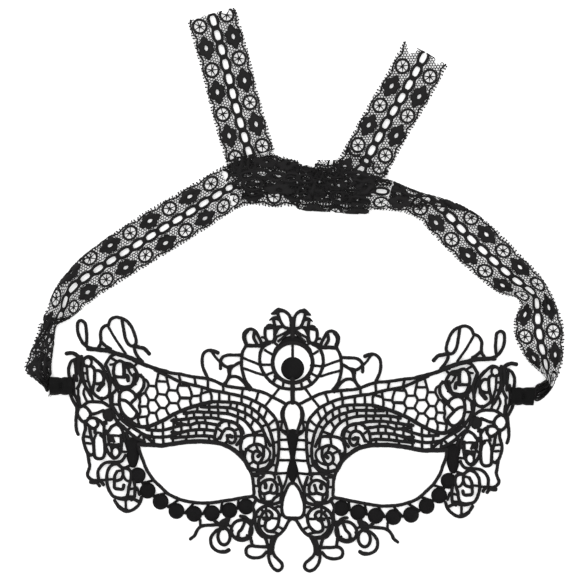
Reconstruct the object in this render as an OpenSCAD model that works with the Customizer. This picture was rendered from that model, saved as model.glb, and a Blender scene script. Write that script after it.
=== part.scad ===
// Lace eye mask with two lace ribbon ties knotted into a head loop.
// The mask lies on its back face: +X to its right, +Y up the forehead, +Z out of its front.
// The origin is on the back of the nose bridge.

/* [Lace panel] */
// Width of the lace panel, side tip to side tip
mask_w = 221; // [180:1:266]
// Height of the lace panel, crown to lowest drop
mask_h = 127; // [104:1:154]
// How much lower the right wing lies than the left, at its tip
wing_droop = 4.4; // [0:0.2:6]
// Thickness of the flat lace
lace_t = 1.2; // [0.9:0.1:1.6]
// Extra height of the padded satin parts
pad_t = 0.5; // [0.2:0.1:0.8]

/* [Lace cords] */
// Width of a main cord
cord_w = 1.65; // [1.3:0.05:1.95]
// Width of a thin joining bar
bar_w = 1.2; // [0.95:0.05:1.45]
// Width of a thickened cord
thick_w = 2.05; // [1.65:0.05:2.45]
// Width of a padded cord
pad_w = 2.4; // [1.9:0.05:2.9]
// Diameter of a satin dot
dot_d = 7.2; // [6:0.1:8.7]
// Diameter of the pupil disc
pupil_d = 11; // [9:0.1:13.2]

/* [Sleeves] */
// Length of a sleeve along the ribbon end it holds
sleeve_l = 11; // [9:0.5:13.5]
// Height of a sleeve, across the ribbon end
sleeve_h = 8.6; // [7:0.1:10.5]
// Thickness of a sleeve, back to front
sleeve_t = 4.6; // [4.4:0.1:5.6]
// Radius of the bore that the gathered ribbon end turns in
bore_r = 1.7; // [1.4:0.05:1.9]
// Radial clearance of the gathered ribbon end
bore_gap = 0.05; // [0.02:0.01:0.1]

/* [Ribbon] */
// Full width of the ribbon, picots included
ribbon_w = 24.6; // [20:0.2:29.6]
// Thickness of one layer of ribbon
ribbon_t = 0.7; // [0.5:0.1:0.9]
// Length of the left loose end
left_tail_l = 71.5; // [40:0.5:82]
// Length of the right loose end
right_tail_l = 62.5; // [40:0.5:72]
// Gap between a loose end and the knot it leaves
tail_gap = 0.5; // [0.4:0.1:0.8]

/* [Hidden] */

// Short names for the four cord widths
B = bar_w;
C = cord_w;
T = thick_w;
P = pad_w;

// The lace pattern is drawn for one half, x measured outwards from the centre line.
// A stroke is [width, points of its centre line], a ring is [centre, radius, radius, width],
// and a fill is the outline of a satin patch.

MEDALLION_STROKES = [
    [C, [[0, 39.6], [5, 40.2], [9.5, 42.4], [13, 46], [15.2, 50.2], [15.8, 54.5], [15.2, 58],
        [13.6, 60.3], [11, 61.6]]],
    [B, [[0, 54.5], [0, 61]]],
    [P, [[0, 44.4], [0, 39.6]]],
    [B, [[9.3, 56], [13.3, 58.4]]],
    [B, [[9.6, 51.4], [15.6, 51.3]]],
    [B, [[8.9, 48], [12.9, 46.2]]],
    [C, [[7.3, 46], [9.4, 43]]],
    [B, [[4.3, 43.8], [4.8, 40]]],
    [C, [[3.5, 43.3], [8.5, 45.8]]]
];
MEDALLION_RINGS = [[[0, 52.3], 9.6, 9.6, T]];
CRESCENT_FILL = [[0, 65.3], [3, 64.8], [5, 63.2], [6.8, 61.2], [8.8, 59.2], [9.6, 56.6], [8.6, 57.2],
    [6.5, 59.2], [3.6, 60.7], [0, 61.2]];

CROWN_STROKES = [
    [P, [[0, 65], [0, 73.4]]],
    [C, [[0.7, 69.5], [0.9, 73], [2, 75.6], [4.4, 77.3], [6.6, 77.8]]],
    [C, [[7, 76], [6.4, 73.5], [5.2, 70.9], [3.8, 69.3], [2, 68.8], [0.8, 68]]],
    [B, [[7.7, 64.7], [4.5, 66.2], [1.2, 68.2]]],
    [B, [[8.2, 66.2], [6.6, 68.8], [4.4, 69.6]]],
    [B, [[6.8, 62.6], [3.4, 65.4], [0.8, 67.2]]],
    [C, [[8.6, 70.5], [9.1, 72.6]]],
    [C, [[8.7, 68.8], [8.6, 66], [8.9, 63.2], [9.8, 62.4]]],
    [C, [[13, 69], [13.3, 66.5], [12.9, 64], [11.9, 62.3]]],
    [C, [[14.8, 61.2], [12, 62.2], [9, 62.3], [7.9, 64.6]]],
    [B, [[12.9, 64.2], [14.6, 64.6]]],
    [B, [[7.3, 60.7], [9.3, 62.4]]]
];
CROWN_FILLS = [
    [[1.5, 75.4], [2.6, 76.8], [4.5, 78], [6.7, 78.8], [8.3, 78], [9.6, 76.8], [10.5, 76], [10.2, 75.3],
        [8, 75.3], [6.9, 75.5], [5.8, 76.3], [4.2, 76.2], [2.8, 75.2]],
    [[6.2, 74.8], [9, 74.6], [10.3, 74], [11.5, 72.5], [9.8, 72.7], [8.8, 72.7], [7.6, 72.6], [6.4, 72.3]],
    [[13.4, 68.3], [12.9, 70.1], [11.8, 71], [10, 71], [8.4, 70.3], [5.6, 70.2], [6.6, 68.4], [8.6, 67.8],
        [9.6, 68.3], [12.2, 68]]
];

EAR_STROKES = [
    [C, [[14.6, 60.8], [15.4, 63], [16.8, 65.6], [18, 67.6], [20, 68.5], [22, 67.9], [23.4, 66.2],
        [23.3, 63.5], [22.2, 60.8]]],
    [T, [[21.6, 67.6], [22.8, 66], [23, 63.8], [22.3, 61.8]]],
    [C, [[18.3, 67.2], [18.6, 64.2], [17.2, 61.6]]],
    [T, [[15.4, 60.5], [22.4, 60.5]]],
    [C, [[22.2, 60.8], [23.9, 57.5], [24.5, 53.5], [24.3, 49.5], [23.5, 46], [22, 42.7], [20, 40.2]]],
    [B, [[24.2, 54.8], [20, 53.1], [15.8, 51.3]]],
    [B, [[24.2, 49.8], [20, 48.4], [14.3, 46.4]]],
    [B, [[14.6, 60.8], [15, 57.6]]]
];

BROW_SCROLL_STROKES = [
    [C, [[40.3, 44.3], [41.7, 47], [42.9, 50], [43.4, 53], [43, 56], [41.7, 57.7], [40, 58.3], [37.8, 58]]],
    [T, [[39.4, 58.2], [37.4, 57.8], [35.8, 57.1]]],
    [B, [[38.8, 57.6], [36.9, 54.9], [34.6, 52.4]]],
    [C, [[34.6, 49.4], [34.6, 52], [34.2, 54], [32.9, 55.4], [30.5, 56], [27.4, 56], [24.2, 56]]],
    [C, [[34.4, 52.4], [32.3, 50.6], [30.3, 50.2], [28.2, 50.8], [26.2, 52], [24.4, 52.6]]],
    [C, [[30.6, 50.3], [30.4, 46.8], [31.3, 44], [33.4, 41.6]]],
    [C, [[32.2, 42.2], [30.5, 45], [28.5, 45.8], [26.3, 45.4], [24.3, 43.9], [22.3, 41.6], [20.6, 39.2]]]
];
BROW_SCROLL_FILLS = [[[31.3, 50.8], [27, 51.4], [29, 48.8], [29.6, 45.6], [31, 46]]];

BROW_BAND_STROKES = [
    [T, [[76, 53.4], [73, 52.2], [70, 51], [65, 49.3], [60, 47.9]]],
    [C, [[62, 48.2], [58, 47.4], [54, 46.9], [50, 46], [45, 45.2], [41, 44.7], [37.5, 43.6], [34, 42],
        [31, 41], [27, 40.4],
        [22, 39.8], [16.5, 38.8], [13, 37.6], [9.5, 35.8], [6, 34], [3, 32.4]]],
    [C, [[66, 48.9], [62, 46.9], [58, 45.1], [54, 43.2], [50, 42.2], [46, 41.2], [42, 40.2], [38, 38.9],
        [34, 38.3],
        [30, 37.4], [26, 36.6], [22, 35.5], [17, 33.3], [13.5, 31.2], [10.8, 28.7], [8.7, 26.2],
            [7.4, 23.5],
        [6.8, 20.5], [6.6, 15], [6.7, 10], [7.2, 5], [8, 1], [7.8, -1]]],
    [C, [[40, 33.6], [36, 33.6], [32, 33.5], [28, 33.2], [25, 32.7], [22, 31.6], [19, 30], [16.5, 28],
        [14.2, 25.4],
        [12.2, 22.6], [10.9, 19.6], [9.9, 16.4], [9.2, 13], [9, 10], [9.1, 6.5], [10, 3.5], [12, 1.2]]],
    [B, [[54.6, 47], [53.6, 43]]],
    [B, [[47.2, 45.6], [46.4, 41.3]]],
    [B, [[40.6, 44.7], [40.6, 39.8]]],
    [B, [[33.4, 41.8], [33.2, 38.2]]],
    [B, [[23.8, 40], [24.4, 36.2]]],
    [B, [[16.2, 38.7], [17.8, 33.6]]],
    [B, [[9.6, 36], [13.4, 31.3]]],
    [B, [[9.6, 36], [6.2, 40.4]]],
    [B, [[35.2, 38.5], [35.2, 33.6]]],
    [B, [[30.4, 37.5], [30.4, 33.5]]],
    [B, [[24.6, 36.2], [24.4, 32.6]]],
    [B, [[19.4, 34.4], [20.6, 31]]],
    [B, [[15.2, 32.2], [16.6, 28.2]]],
    [B, [[12.2, 30], [13.9, 25.2]]],
    [B, [[8.2, 25.2], [11.8, 22.2]]],
    [B, [[6.9, 20.6], [11, 19.6]]],
    [B, [[6.7, 14.4], [9.4, 14]]],
    [B, [[6.9, 8], [9, 7.6]]],
    [B, [[7.6, 3], [10, 3.4]]]
];

HONEYCOMB_STROKES = [
    [B, [[40, 39.6], [39, 36.8], [38.9, 34.6], [38.6, 33.4]]],
    [B, [[43.6, 40.9], [43.6, 39.2], [43.9, 37.4], [44.1, 35], [43.8, 32.4]]],
    [B, [[43.9, 37.5], [40.2, 38.5]]],
    [B, [[50.4, 42.4], [49, 39.2], [48.4, 36.4], [49.1, 34.2], [48.4, 31.2]]],
    [B, [[48.4, 36.3], [43.9, 36.6]]],
    [B, [[53.6, 43.2], [54.7, 41.4], [55.3, 38.9], [54, 35.4], [55, 32.8], [53.6, 29.2]]],
    [B, [[54.7, 41.4], [50, 41.3]]], [C, [[54, 35.4], [48.7, 35.3]]],
    [B, [[60.6, 46], [60, 43.2], [59.4, 40], [60.5, 36.9], [59.1, 33.3], [60.7, 30.5], [59.3, 27.2],
        [59, 26.2]]],
    [B, [[59.4, 39.1], [55.3, 38.9]]], [B, [[59.1, 33.1], [55, 32.8]]],
    [B, [[64, 48.4], [65.2, 43.5], [65.4, 40.8], [64.7, 37.4], [65.8, 34.4], [63.8, 30.8], [65.5, 28.2],
        [64.3, 24.2]]],
    [B, [[65.2, 43.5], [60, 43.2]]], [B, [[64.7, 37.4], [60.5, 36.9]]], [B, [[63.8, 30.8], [60.7, 30.5]]],
    [B, [[71.6, 44.8], [69.8, 43.6], [69.2, 41.2], [70.5, 38], [69.1, 34.5], [69.5, 31.4], [68.8, 28.4],
        [69.8, 25.4], [69.4, 22]]],
    [B, [[69.2, 41.2], [65.4, 41]]], [B, [[69.1, 34.5], [65.8, 34.4]]], [B, [[68.8, 28.4], [65.5, 28.2]]],
    [B, [[73.4, 22.2], [74.2, 25.8], [73, 28.8], [73.6, 31.4], [73.2, 34.2], [74.6, 36.8]]],
    [B, [[70.5, 38], [72.2, 37.1], [73.6, 35.2]]], [B, [[73.6, 31.3], [69.4, 31.4]]],
    [B, [[74.2, 26], [69.7, 26.6]]]
];

LID_STROKES = [
    [T, [[78, 24.4], [74, 21.9], [70, 21.6], [66, 22.9], [62, 24.7], [57.5, 27.3], [53, 29.4],
        [48, 31.2], [44, 32.4], [39, 33.4]]],
    [C, [[44, 31.2], [40, 31], [35, 31], [30, 30.6], [26, 29.4], [22.5, 28], [19.5, 26.1], [17, 24],
        [15, 21.5], [13.7, 19], [12.6, 16]]],
    [C, [[52, 27.9], [47, 28.7], [42, 28.6], [36, 28.3], [31, 27.8], [27, 26.6], [24, 25.2], [21.5, 23],
        [19.5, 20.3], [18.4, 17.8]]],
    [C, [[58, 24.6], [52, 25.2], [47, 25.8], [42, 26], [37, 25.6], [33, 24.8], [30, 24], [27, 23],
        [24.6, 21], [23.6, 18.4]]],
    [C, [[56, 23.4], [50, 22.5], [46, 23.4], [42, 23.5], [38, 22.8], [35, 22.3]]],
    [C, [[70, 20.2], [66, 19.9], [62, 20], [57, 21.3], [52, 22.6]]],
    [C, [[58, 19], [54, 18.8], [50, 19.7], [46, 20.2], [42, 20.2], [38, 19.8]]],
    [C, [[72, 18.2], [70, 17.4], [65, 16.6], [60, 16.9], [56, 18], [52, 19.3]]],
    [C, [[58, 16.2], [50, 16.9], [45, 17.2], [40, 17.2], [37.4, 16.4]]],
    [B, [[51.4, 30.2], [51.2, 27.9]]], [B, [[45.6, 32], [45.8, 28.6]]], [B, [[40, 33.4], [40, 28.7]]],
    [B, [[36, 33.6], [35.6, 28.4]]], [B, [[29.6, 33.3], [30, 30.6]]], [B, [[26.5, 33], [27, 29.8]]],
    [B, [[31.4, 30.6], [31, 27.8]]], [B, [[22.6, 31.8], [23, 28.2]]], [B, [[26, 29.4], [26.4, 26.3]]],
    [B, [[19.4, 30.2], [19.8, 26.3]]], [B, [[15.7, 27.4], [17, 24]]], [B, [[22.4, 28], [23.2, 24.6]]],
    [B, [[18.4, 25.2], [20.4, 21.4]]], [B, [[12.4, 22.8], [15, 21.4]]], [B, [[14.2, 20], [18.7, 18.6]]],
    [B, [[56.4, 27.8], [55.6, 24.8]]], [B, [[50.8, 28], [51, 25.3]]], [B, [[47.4, 28.6], [47.2, 25.8]]],
    [B, [[42.6, 28.6], [42.6, 26]]], [B, [[39.2, 28.5], [39.2, 25.8]]], [B, [[35.6, 28.3], [35.6, 25.3]]],
    [B, [[26.2, 26.2], [26.6, 22.9]]],
    [B, [[53.4, 25], [53.6, 22.9]]], [B, [[49.8, 25.4], [50, 22.6]]], [B, [[46, 25.9], [46, 23.4]]],
    [B, [[42, 26], [41.8, 23.5]]],
    [B, [[65.6, 22.8], [65.6, 20]]], [B, [[62.2, 24.4], [62.1, 20.1]]], [B, [[57, 25.2], [57.2, 21.3]]],
    [B, [[53.4, 22.4], [53.2, 19]]], [B, [[49, 22.7], [49, 19.8]]], [B, [[44.8, 23.5], [44.8, 20.2]]],
    [B, [[41.2, 23.4], [41.2, 20.2]]],
    [B, [[67.6, 19.9], [67.4, 17]]], [B, [[62.2, 20], [62.2, 16.8]]], [B, [[57.4, 21.2], [57, 17.7]]],
    [B, [[53.8, 19.3], [53.8, 16.6]]], [B, [[50, 19.7], [50, 16.9]]], [B, [[46.2, 20.2], [46.3, 17.2]]],
    [B, [[42.4, 20.2], [42.4, 17.2]]],
    [B, [[71.8, 18], [71, 14.2]]], [B, [[66.6, 16.7], [66.6, 13.6]]], [B, [[62.1, 16.8], [62, 13.4]]],
    [B, [[57.6, 17.2], [57.4, 14]]], [B, [[51, 17], [51, 14.6]]], [B, [[40, 17.2], [40, 14.8]]],
    [C, [[86.4, 31.6], [84.6, 28.6], [82.2, 25.4], [79.6, 23], [76, 20.8], [72, 18.2], [69.4, 16.2],
        [67, 14.2]]],
    [C, [[86.3, 29], [84.4, 24.6], [81, 21.4], [77.6, 18.2], [74.2, 15.8], [71, 14.4]]],
    [B, [[82.2, 25.4], [84.2, 24.4]]], [B, [[77.4, 21.6], [79.2, 19.8]]], [B, [[72.4, 18.4], [74.4, 15.9]]],
    [B, [[81, 27.3], [79.6, 23]]], [B, [[80.4, 25], [77, 22.4], [74, 21.9]]],
    [C, [[79.8, 18.6], [78.6, 15.6]]]
];

RIM_UPPER = [[73.6, 13.4], [70, 13], [66, 12.9], [63, 12.6], [60, 13], [55, 13.8], [50, 14.4],
    [45, 14.6], [40, 14.4],
    [36, 13.9], [33, 13.1], [29.5, 11.4], [26.3, 9], [23.8, 6.6], [22, 4], [20.8, 1.6]];
RIM_LOWER = [[20.8, 1.6], [19.8, -0.8], [19, -4], [18.7, -8], [18.9, -11.4], [22.8, -12.2], [26, -12.8],
    [30, -13.5], [34, -14.1],
    [38, -14.7], [42, -15], [47, -14.7], [51.2, -14], [55.3, -12.7], [58.9, -11], [61.5, -8.9], [64.5, -6],
    [67, -3.5], [69.1, -0.4], [70.7, 2.6], [71.7, 5.4], [72.7, 8], [73.7, 11], [73.9, 13.4]];

INNER_ROSETTE_STROKES = [
    [C, [[24.3, 15.6], [22.6, 17], [20, 17.6], [16.5, 17.7], [13.6, 17.2], [12, 15.4], [10.8, 12.6]]],
    [C, [[34.7, 16], [33.7, 18.6], [32.2, 20.4], [30, 20.7], [28.1, 19.6], [27.3, 17.2], [27.5, 15],
        [28.9, 13.8], [30.8, 14.7], [31.2, 16.6], [30, 17.6]]],
    [T, [[31.4, 17.3], [29, 16.9]]],
    [C, [[37.4, 14.4], [37.2, 18], [36.2, 21.4], [33.4, 24.1], [29.6, 24.2], [26.4, 22.4], [24.7, 19],
        [24.8, 15.8], [26.8, 13]]],
    [B, [[36.3, 21], [33.6, 19.2]]], [B, [[28, 19.8], [25.4, 20.9]]], [B, [[27.4, 17], [24.7, 17]]],
    [B, [[36.6, 15], [34.2, 17.4]]], [B, [[30.6, 24.2], [30.4, 20.8]]], [B, [[31, 14.8], [32.8, 13.4]]],
    [C, [[24.4, 15.2], [25, 11.6], [24.2, 7.6]]],
    [C, [[22.9, 4.8], [22.8, 8.6], [21, 11.8], [17.6, 13.3], [14.8, 12.4], [13.9, 10.2], [14.2, 7],
        [16.3, 4.2], [18.6, 5.2], [19.2, 7.8], [18, 9.8], [15.9, 9.6], [15.4, 8]]],
    [T, [[15.4, 8.4], [16.6, 7.4]]],
    [B, [[14.3, 12.4], [12, 11.2], [10.8, 9], [11.3, 6.6], [13, 4.8], [15.6, 4]]],
    [C, [[22.9, 5], [21, 1.8], [17.6, 0.8], [14, 1.5], [11.8, 2.9], [10.3, 5.6]]],
    [B, [[22.5, 11], [19, 9.4]]], [B, [[21.6, 3], [18.6, 5.2]]], [B, [[16.7, 1], [16.4, 4.2]]],
    [B, [[17.7, 13.1], [16.4, 9.9]]], [B, [[13.4, 17.2], [12.6, 12.4]]], [B, [[18, 17.6], [18.6, 13]]],
    [C, [[12, 1.2], [15.6, 0.4], [19.8, 1.6]]], [B, [[22.8, 9], [25, 10.6]]]
];
INNER_ROSETTE_RINGS = [];

NOSE_STROKES = [
    [C, [[0, 33.6], [2.6, 32.7], [4.2, 30], [4.5, 27], [3.8, 24], [3, 21.4], [2, 18.8]]],
    [B, [[4.4, 31], [5.4, 28], [5, 24.4], [5.4, 21.4], [4.8, 19.2], [2.6, 17.6]]],
    [P, [[0, 40], [0, 33.2]]],
    [B, [[5, 24.2], [7.2, 24]]]
];
NOSE_LEAF_FILL = [[0, 20.6], [2.9, 19.5], [3.1, 17.6], [2.3, 13], [1.6, 9], [1.3, 6.2], [2, 3.6],
    [2.8, 0.4], [2.3, -2], [1.3, -4.2], [0, -6.2]];
NOSE_LEAF_STROKES = [
    [B, [[2, 15.4], [6.6, 15.3]]], [B, [[1.2, 10.8], [6.8, 10.9]]], [B, [[1, 5.6], [7.1, 5.5]]],
        [B, [[2, -0.6], [7.8, -0.8]]],
    [B, [[2.2, 19], [6.8, 20.6]]]
];
NOSE_ARCH_STROKES = [
    [C, [[0, -5.4], [1.3, -5.8], [2.7, -7.8], [3.9, -10.6], [4.9, -14], [5.2, -17], [4.8, -20],
        [3.3, -21.9], [0, -22.2]]],
    [B, [[2.4, -1.6], [3.4, -5], [4.8, -8.4], [5.4, -11]]]
];

NOSE_ROSETTE_STROKES = [
    [C, [[7.8, -1], [11, -0.4], [15.4, -0.6], [18.9, -1.2]]],
    [C, [[6.8, -2.4], [5.4, -7], [5.3, -11], [5.9, -14.4]]],
    [C, [[15.8, -8.6], [15.4, -6.2], [13.8, -4.6], [11.2, -3.6], [8.9, -4.4], [7.6, -6.6], [7.5, -9],
        [8.8, -10.3], [11, -9.9], [13.6, -10.5], [15.2, -9.9], [15.8, -8.6]]],
    [T, [[13.7, -4.8], [12.9, -6.4], [13, -7.6]]], [C, [[10.8, -9.8], [10.3, -7.6], [9.9, -6.1]]],
    [C, [[13.4, -0.5], [14.4, -2.2], [16.2, -3.6], [16.2, -6], [15.7, -8]]],
    [B, [[16.2, -2.2], [18.9, -1.9]]], [B, [[16.2, -6.8], [18.9, -6.6]]], [B, [[7.4, -6], [5.6, -6.1]]],
    [B, [[9.2, -1], [8.4, -3], [9.2, -4.4]]],
    [C, [[15.9, -9], [15.6, -11.4], [13.8, -14], [10.4, -14.3], [8.6, -12.6], [6.6, -11]]],
    [B, [[13.6, -10.6], [13.4, -13.8]]], [B, [[8.4, -10.4], [5.8, -10.6]]],
    [C, [[6, -14.4], [9, -15.4], [12, -15], [15.6, -14.2], [18.8, -12]]],
    [B, [[5.2, -17], [7.2, -16.6], [8.4, -17.6]]],
    [C, [[18.8, -12], [17.4, -12.8], [19, -16.4], [18.4, -19.4], [18.8, -23.4], [20.2, -27], [20.6, -30],
        [19.8, -33], [19.5, -35.4]]],
    [C, [[18.1, -22.4], [17.2, -19.6], [15.2, -17.4], [12, -16.2], [9.4, -17.2], [7.2, -19.2],
        [6.5, -21.8], [7, -25.2], [8.6, -27.6], [10.8, -28.6], [12.9, -27.6], [13.2, -25.6],
        [12.6, -23.6], [10.6, -22.2], [9.9, -20.4], [11.3, -18.8], [13.6, -19.2], [15, -21],
        [16.1, -23.4], [16, -26.2], [14.8, -28.8], [12, -30.9], [9.6, -31.2], [7.4, -30.6]]],
    [C, [[18.1, -22.2], [17.9, -25], [17.2, -27.4], [16, -29.6], [14, -31.2], [11, -31.4]]],
    [T, [[12, -22.2], [13.8, -22.4]]], [B, [[12.3, -22], [12.8, -19.4]]],
    [B, [[12.7, -16.4], [12.8, -18.8]]], [B, [[15.3, -17.6], [14.2, -19]]], [B, [[17.9, -21.6],
        [15.4, -21.6]]],
    [B, [[17.8, -26], [15.9, -26.2], [13.2, -25.8]]], [B, [[9.9, -22.3], [6.6, -22.4]]],
    [B, [[10.4, -28.8], [8.6, -29], [6.4, -29.8]]], [B, [[7, -26.2], [4.4, -27.6]]],
    [B, [[5.2, -20], [6.4, -22]]],
    [C, [[23, -24.2], [24.3, -27.2], [25.9, -29.2], [26.1, -32]]],
    [C, [[19, -23.6], [21, -23.2], [22.6, -21.8], [25, -21.2]]],
    [P, [[21.6, -31.8], [24.3, -32.4], [27, -31.6]]],
    [B, [[29, -26.4], [31.6, -25.2]]], [B, [[18.6, -22.8], [20.4, -24.8]]], [B, [[19.8, -31.6],
        [22, -30.4]]]
];
NOSE_ROSETTE_RINGS = [[[24.4, -28], 5, 4.9, C]];

LOWER_CURL_STROKES = [
    [C, [[31.6, -22], [32, -24.8], [36, -25.3], [40, -25.6], [43, -25.9], [45, -27], [46.2, -28.8],
        [47, -30.6], [49, -32.2]]],
    [B, [[44.3, -23.2], [44.2, -26]]],
    [C, [[37.4, -23.6], [35.6, -25], [34.4, -27], [36.8, -28.4], [38.9, -31], [39.3, -33.6], [38.5, -36],
        [36.5, -37.7], [34, -38.4], [31.6, -38.1]]],
    [T, [[34, -38.4], [32, -38.2], [30.6, -37.4]]],
    [C, [[30.4, -22.4], [31.6, -25.4], [33.4, -27.4]]],
    [B, [[29.6, -28.4], [28.8, -28.2]]]
];
LOWER_CURL_RINGS = [[[32.9, -31], 2.9, 4, C]];
LOWER_CURL_FILLS = [[[30.4, -22.6], [33.6, -22.6], [35.6, -24.8], [34.8, -27.4], [32, -27.2], [30.6, -25]]];

DROP_STROKES = [
    [C, [[0, -22.4], [1.5, -23.2], [2.6, -25], [4, -27.4], [5.8, -29.6], [7.6, -31], [8.8, -33.5],
        [9.4, -36], [9.4, -38.5],
        [8.5, -40.3], [7, -41.9], [5.5, -43.5], [4.9, -45.2], [5.5, -46.6], [7, -47.3], [8.8, -46.6],
            [10.1, -45],
        [11, -43], [11.5, -40.5], [11.4, -37]]],
    [C, [[12.8, -36], [16.6, -35.8], [20, -35.5], [21.9, -36.5], [22.4, -38.5], [21.4, -40.3],
        [19, -41.2], [16.3, -41.1],
        [14.2, -40.2], [12.6, -38.4]]],
    [P, [[9.6, -31.6], [10.4, -36], [10.6, -39]]],
    [C, [[7.6, -31], [10.4, -31.2], [13.6, -30.4]]],
    [C, [[13.8, -30.6], [12.6, -33], [11.8, -36.4]]]
];

DOTS = [[22.3, -16.7], [30.3, -18.5], [38.7, -19.9], [47.2, -20.2], [55.7, -18.8], [63.3, -14.3],
    [69.5, -9], [74.3, -1.7]];
DOT_TIES = [[26, -12.8], [33.6, -14.1], [39.8, -14.8], [47, -14.7], [54, -13.1], [60.2, -10], [66.4, -4]];

LEAF_FILL = [[80.4, 16.2], [80.3, 12.6], [79.6, 10], [79.6, 7], [78.9, 4.4], [77.6, 2.2], [75.4, 2.2],
    [74.2, 4.6], [73.6, 7.6], [74.1, 10.4], [73.4, 13], [74, 16.2]];

TEMPLE_STROKES = [
    [P, [[98, 59], [93, 58.6], [88, 57.9], [84, 56.6], [80, 55.4], [76, 53.9], [73, 52.4]]],
    [T, [[108.4, 56.7], [106, 57], [104.2, 56.4], [102.6, 55], [102, 53]]],
    [C, [[103.6, 54], [105.8, 53.2], [107, 51.2], [107.4, 48.4], [107, 45.2]]],
    [P, [[102.4, 55], [102.7, 51], [102.6, 47.6]]],
    [C, [[101.2, 55.4], [100.8, 51], [101.2, 47], [100.4, 43.4], [98.6, 40], [96.6, 37.2]]],
    [C, [[104.3, 52.6], [103.8, 47.6], [103.5, 43.8]]],
    [C, [[102.6, 48], [101.4, 45], [102, 42.6], [103.2, 40]]],
    [C, [[104.8, 46.2], [105, 41], [104.6, 37], [103, 35.4]]],
    [C, [[106.8, 38], [105.4, 34.4], [103.7, 31.4], [102.6, 30]]],
    [B, [[104.2, 36.4], [103, 33.2], [101.4, 31]]],
    [C, [[102.6, 36], [101.6, 31.4], [98.4, 33.2], [95.4, 33.6], [91, 33.2], [88, 31.4], [86.6, 31]]],
    [B, [[99.4, 40.6], [100.2, 37.6], [98.6, 33.6]]],
    [B, [[102.8, 39.4], [102.8, 35.6]]],
    [B, [[96.8, 37.2], [95.6, 33.6]]], [B, [[91.4, 35.6], [91.6, 33.2]]],
    [C, [[103.5, 31.6], [103.6, 28], [103.9, 24], [103.7, 20.6], [102.8, 17.9]]],
    [C, [[102.4, 30.6], [103.2, 28], [102, 25.4], [100, 23.9], [98, 25.2], [96.9, 27.6], [98, 30],
        [99.8, 31.4]]],
    [C, [[97, 27.5], [93.8, 28.2], [90.8, 29.4]]],
    [C, [[96.8, 36.6], [98.8, 40], [100.2, 44], [100.9, 48], [100.8, 52], [99.4, 54.6], [97, 55.2],
        [94.6, 53.7], [92, 51], [90, 48], [88.6, 44], [87.8, 41], [87.8, 38], [89, 35.9], [91.4, 35.1],
        [93.6, 36], [95.6, 38], [95.7, 40.4], [95.1, 43.4], [94.9, 46.2], [95.2, 49.4], [96.8, 51]]],
    [B, [[98.8, 51], [98.5, 47.6], [98, 43.6], [96.8, 40], [95.8, 38.6]]],
    [B, [[100.9, 47.4], [98.6, 47.3]]], [B, [[99.8, 43.5], [98, 43.5]]], [B, [[100.6, 50.9], [97.4, 50.4]]],
    [C, [[95, 48.4], [92.8, 48.5], [91.2, 47], [90.5, 45], [91.2, 42.9], [93.6, 42.2], [95.2, 42.7]]],
    [C, [[90.2, 47.6], [90.5, 44.8], [90.8, 42.4]]], [P, [[90.8, 42.2], [92.2, 40.6], [93.2, 39.3]]],
    [C, [[89.7, 51.4], [88, 47.4], [87.3, 43.8], [87.7, 38], [87, 31.4]]],
    [C, [[89.6, 51.6], [87.2, 55.4], [84.4, 56.6]]], [B, [[93.4, 53], [91, 50.4], [89.4, 46.6]]],
    [C, [[85.9, 48.6], [85.2, 51.6], [83, 53.2], [80.4, 52.2], [77.4, 51.4], [75.4, 49], [74.2, 46],
        [75.3, 43], [77, 41.2], [80, 40.6], [83, 41.2], [84.8, 43.6], [85.7, 46.6], [85.9, 48.6]]],
    [B, [[85.4, 51.6], [87.4, 51.4]]], [B, [[86.2, 45], [87.6, 44.8]]], [B, [[84.2, 52.9], [87, 54.6]]],
    [T, [[81, 52], [80.8, 48.6], [80.7, 46]]], [C, [[84.8, 45.6], [82.6, 45.5], [80.6, 45.3]]],
    [T, [[80.6, 46.2], [79.2, 46], [78.8, 43.7]]], [P, [[80.6, 50.6], [77.8, 50.6]]],
    [B, [[79.2, 50], [77.6, 47], [76.2, 45.6]]], [C, [[75.8, 46.8], [76.2, 43.6], [77.2, 41.4]]],
    [B, [[76.2, 50.4], [74.4, 52.2]]], [B, [[75.2, 42], [78, 41]]],
    [P, [[84.4, 40.4], [81, 40.3], [77.6, 40.8]]],
    [C, [[87.4, 44.8], [85.4, 42.2], [84.4, 40], [86, 37.8], [87.6, 36.8]]],
    [C, [[82.9, 34.6], [80.4, 34.2], [78.4, 32.8], [76.6, 30.8], [74.9, 28.8], [74.8, 27.4], [76.2, 25.6],
        [78.4, 25.4], [80.6, 27.2], [82.2, 29.4], [83, 32.4], [83.1, 35.4], [82.6, 38], [80.6, 39.5],
        [78, 39.1], [75.8, 37.4], [75.2, 35.4], [76.8, 33.8], [77.8, 32.4]]],
    [B, [[84.6, 40.2], [83, 37.6]]], [C, [[86.4, 36.8], [86.6, 34], [86.6, 31.8], [84.8, 28.6],
        [82.4, 26.2]]],
    [B, [[86.4, 32.4], [83, 32.2]]], [B, [[82.6, 26.4], [80.6, 26.6]]], [B, [[82.2, 29.2], [82.6, 26.2]]],
    [C, [[73.4, 46.4], [71.6, 44.8], [71.4, 41], [73.4, 38], [75.4, 36.6]]], [B, [[74.2, 46],
        [72.6, 46.6]]],
    [B, [[75.6, 36], [73.6, 36.4], [73.2, 34.2]]]
];
TEMPLE_RINGS = [[[98.3, 52.6], 1.9, 2.2, B]];
TEMPLE_FILLS = [[[90.6, 29.6], [87, 30.4], [85.6, 26.6], [87.2, 24], [90.4, 25.2], [91.2, 27.4]]];

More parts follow.
